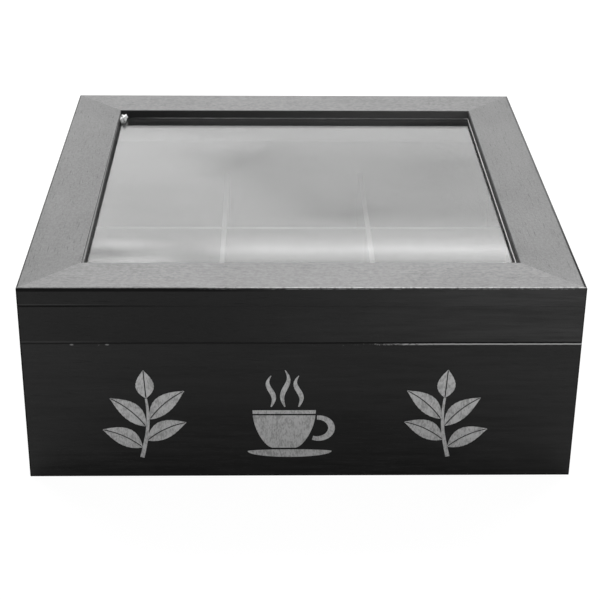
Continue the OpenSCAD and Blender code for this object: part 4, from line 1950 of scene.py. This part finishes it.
@dataclass(frozen=True)
class Studio:
    """A pale floor, an even pale surround and a large soft cove behind the box, at a plain level."""

    floor_reach: float = 6.0
    floor_drop: float = 0.05 * MM
    surround: float = 0.42
    floor_tone: float = 0.80
    glow: float = 0.952
    shade: float = 0.12
    cove_radius: float = 1.7
    cove_reach: float = 1.6
    cove_foot: float = 6.0
    cove_crest: float = 64.0
    cove_rise: float = 0.09
    cove_steps: int = 24
    levels: tuple[Point2, ...] = (
        (0.0, 1.4), (19.5, 1.62), (20.3, 1.85), (21.5, 1.90), (23.0, 1.86), (24.0, 1.92), (25.0, 2.0),
        (25.6, 2.12), (26.1, 2.25), (26.6, 2.08), (27.2, 1.85), (28.0, 2.6), (29.0, 4.0), (33.0, 6.0),
        (90.0, 6.0),
    )
    most: float = 6.0
    dip: tuple[Point2, ...] = ((19.5, 0.02), (20.3, 0.25), (21.5, 0.42), (22.5, 0.33), (23.5, 0.32),
                               (24.3, 0.38), (24.7, 0.30), (25.1, 0.12), (25.6, 0.0))
    dip_edge: Span = (-0.09, 0.09)
    dip_slant: float = 0.055
    dip_middle: float = 23.7
    band: tuple[Point2, ...] = ((25.6, 0.0), (25.9, 0.2), (26.2, 0.68), (26.45, 1.22), (26.7, 0.58),
                                (27.0, 0.13), (27.3, 0.0))
    band_edge: Span = (-0.165, -0.02)
    strokes: tuple[Stroke, ...] = (
        Stroke(-0.120, 20.55, 0.110, 0.45, 0.20), Stroke(0.285, 22.2, 0.090, 0.9, -0.12),
        Stroke(-0.228, 26.99, 0.074, 0.23, 0.70, straight=True),
        Stroke(-0.250, 26.06, 0.050, 0.28, 0.50, straight=True),
        Stroke(-0.190, 26.17, 0.020, 0.17, 0.20, straight=True),
        Stroke(-0.185, 26.62, 0.034, 0.24, 0.18, straight=True),
        Stroke(-0.292, 26.50, 0.050, 0.28, -0.42, straight=True),
        Stroke(-0.060, 21.6, 0.070, 0.45, -0.14, -0.15),
        Stroke(0.120, 24.3, 0.090, 0.38, -0.13), Stroke(0.050, 22.9, 0.060, 0.5, 0.07),
    )
    stroke_edge: Span = (0.15, 1.5)
    wander: float = 0.05
    straight_wander: float = 0.12
    wander_scale: float = 9.0
    clouds: float = 1.06
    cloud_scale: float = 5.0
    cloud_span: Span = (0.3, 0.7)

    def seen(self, graph: Graph) -> NodeSocket:
        """Returns 1 for camera, glossy and transmission rays."""
        path = graph.add("ShaderNodeLightPath").outputs
        return graph.most(*(path[f"Is {ray} Ray"] for ray in ("Camera", "Glossy", "Transmission")))

    def world(self) -> None:
        """Makes the surround: white where it is seen, and a plain grey light otherwise."""
        world = bpy.data.worlds.new("surround")
        world.use_nodes = True
        bpy.context.scene.world = world
        graph = Graph(world.node_tree)
        level = graph.add("ShaderNodeMix", {0: self.seen(graph), 2: self.surround, 3: 1.0}, data_type="FLOAT")
        graph.fill(world.node_tree.nodes["Background"], {"Color": grey(1.0), "Strength": level.outputs[0]})

    def staged(self, name: str, mesh: Mesh, shader: Callable[[Graph], NodeSocket]) -> Object:
        """Puts a piece of the studio in the scene.

        Args:
            name: the piece's name.
            mesh: its mesh.
            shader: makes its shader in an empty graph.

        Returns:
            The new object.
        """
        material = bpy.data.materials.new(name)
        material.use_nodes = True
        material.node_tree.nodes.clear()
        graph = Graph(material.node_tree)
        graph.add("ShaderNodeOutputMaterial", {"Surface": shader(graph)})
        mesh.materials.append(material)
        piece = put(name, mesh)
        return piece

    def floor_shader(self, graph: Graph) -> NodeSocket:
        """Makes the floor pale, near white to the camera, and still shaded by the box.

        Args:
            graph: the graph to fill.

        Returns:
            The shader's socket.
        """
        plain, shaded = (graph.add("ShaderNodeBsdfDiffuse", {"Color": grey(tone)}).outputs[0]
                         for tone in (self.floor_tone, self.shade))
        lit = graph.add("ShaderNodeEmission", {"Color": grey(1.0), "Strength": self.glow})
        pale = graph.add("ShaderNodeAddShader", {0: shaded, 1: lit.outputs[0]})
        seen = graph.add("ShaderNodeLightPath").outputs["Is Camera Ray"]
        return graph.add("ShaderNodeMixShader", {0: seen, 1: plain, 2: pale.outputs[0]}).outputs[0]

    def curve(self, graph: Graph, share: NodeSocket, stops: Sequence[Point2]) -> NodeSocket:
        """Makes a level that runs through stops.

        Args:
            graph: the graph to fill.
            share: the elevation as a share of a quarter turn.
            stops: elevations in degrees, each with its level.

        Returns:
            The level's socket.
        """
        ramp = graph.add("ShaderNodeValToRGB", {0: share})
        points = ramp.color_ramp.elements
        while len(points) < len(stops):
            points.new(0.5)
        for point, (degrees, _) in zip(points, stops):
            point.position = degrees / 90
        for point, (_, level) in zip(points, stops):
            point.color = grey(level / self.most)
        return graph.product(ramp.outputs[0], self.most)

    def cove_shader(self, graph: Graph) -> NodeSocket:
        """Makes the cove glow: dim and clouded low down, with one bright strip, and bright above.

        Args:
            graph: the graph to fill.

        Returns:
            The shader's socket.
        """
        place = graph.place()
        x, y, z = graph.split(place)
        share = graph.math("DIVIDE", graph.math("ARCTAN2", z, y), math.pi / 2)
        straight = graph.math("ADD", x, self.dip_middle * self.dip_slant)
        slanted = graph.scaled(share, -90 * self.dip_slant, straight)
        dip = graph.product(self.curve(graph, share, self.dip), graph.ramp(slanted, *self.dip_edge))
        strip = graph.product(self.curve(graph, share, self.band), graph.ramp(x, *self.band_edge))
        level = graph.math("ADD", graph.less(self.curve(graph, share, self.levels), dip), strip)
        flat = graph.join(x, graph.product(share, 90 * self.per_degree))
        swirls = graph.add("ShaderNodeTexNoise", {
            "Vector": place, "Scale": self.wander_scale, "Detail": 2.0})
        wander, middle, little = ((gain, gain, 0.0) for gain in (
            self.wander, -self.wander / 2, self.straight_wander))
        drift = graph.vector_math("MULTIPLY_ADD", swirls.outputs["Color"], wander, middle)
        bent = graph.vector_math("ADD", flat, drift)
        steady = graph.vector_math("MULTIPLY_ADD", drift, little, flat)
        for stroke in self.strokes:
            level = graph.math("ADD", level, self.patch(graph, steady if stroke.straight else bent, stroke))
        clouds = graph.ramp(graph.noise(place, self.cloud_scale), *self.cloud_span, 1.0, self.clouds)
        lit = {"Color": grey(1.0), "Strength": graph.product(level, clouds)}
        return graph.add("ShaderNodeEmission", lit).outputs[0]

    @property
    def per_degree(self) -> float:
        """Returns the cove's arc for one degree."""
        return self.cove_radius * math.radians(1)

    def patch(self, graph: Graph, flat: NodeSocket, stroke: Stroke) -> NodeSocket:
        """Makes the level that one stroke adds.

        Args:
            graph: the graph to fill.
            flat: the place on the unrolled cove, in metres.
            stroke: where it is, how big and how strong.

        Returns:
            The level's socket.
        """
        local = graph.add("ShaderNodeMapping", {
            "Vector": flat, "Location": (stroke.across, stroke.up * self.per_degree, 0.0),
            "Rotation": (0.0, 0.0, stroke.tilt),
            "Scale": (stroke.half_width, stroke.half_height * self.per_degree, 1.0),
        }, vector_type="TEXTURE")
        return graph.fade(graph.length(local.outputs[0]), *self.stroke_edge, stroke.gain)

    def cove_mesh(self) -> Mesh:
        """Bends the cove round the X axis.

        Returns:
            The mesh.
        """
        verts: list[tuple[float, float, float]] = []
        for share in shares(self.cove_steps):
            angle = math.radians(self.cove_foot + (self.cove_crest - self.cove_foot) * share)
            y, z = self.cove_radius * math.cos(angle), self.cove_radius * math.sin(angle)
            verts += [(-self.cove_reach, y, z), (self.cove_reach, y, z)]
        faces = [(2 * i, 2 * i + 2, 2 * i + 3, 2 * i + 1) for i in range(self.cove_steps)]
        mesh = bpy.data.meshes.new("cove")
        mesh.from_pydata(verts, [], faces)
        return mesh

    def build(self) -> None:
        """Makes the surround, the floor and the cove."""
        self.world()
        reach, drop = self.floor_reach, -self.floor_drop
        mesh = bpy.data.meshes.new("floor")
        corners = ((-reach, -reach), (reach, -reach), (reach, reach), (-reach, reach))
        mesh.from_pydata([(x, y, drop) for x, y in corners], [], [(0, 1, 2, 3)])
        self.staged("floor", mesh, self.floor_shader)
        cove = self.staged("cove", self.cove_mesh(), self.cove_shader)
        cove.location.z = self.cove_rise
        cove.visible_camera = False


def main() -> None:
    """Builds the sub-assemblies in order."""
    logging.basicConfig(level=logging.INFO, format="%(message)s")
    bpy.context.scene.view_settings.view_transform = "Standard"
    outline = Outline.read()
    View().build()
    Studio().build()
    Boards(outline).build()
    Interior().build()
    Window(outline).build()
    StopHinges().build()
    Fasteners().build()
    FrontMotifs(outline).build()


if __name__ == "__main__":
    main()
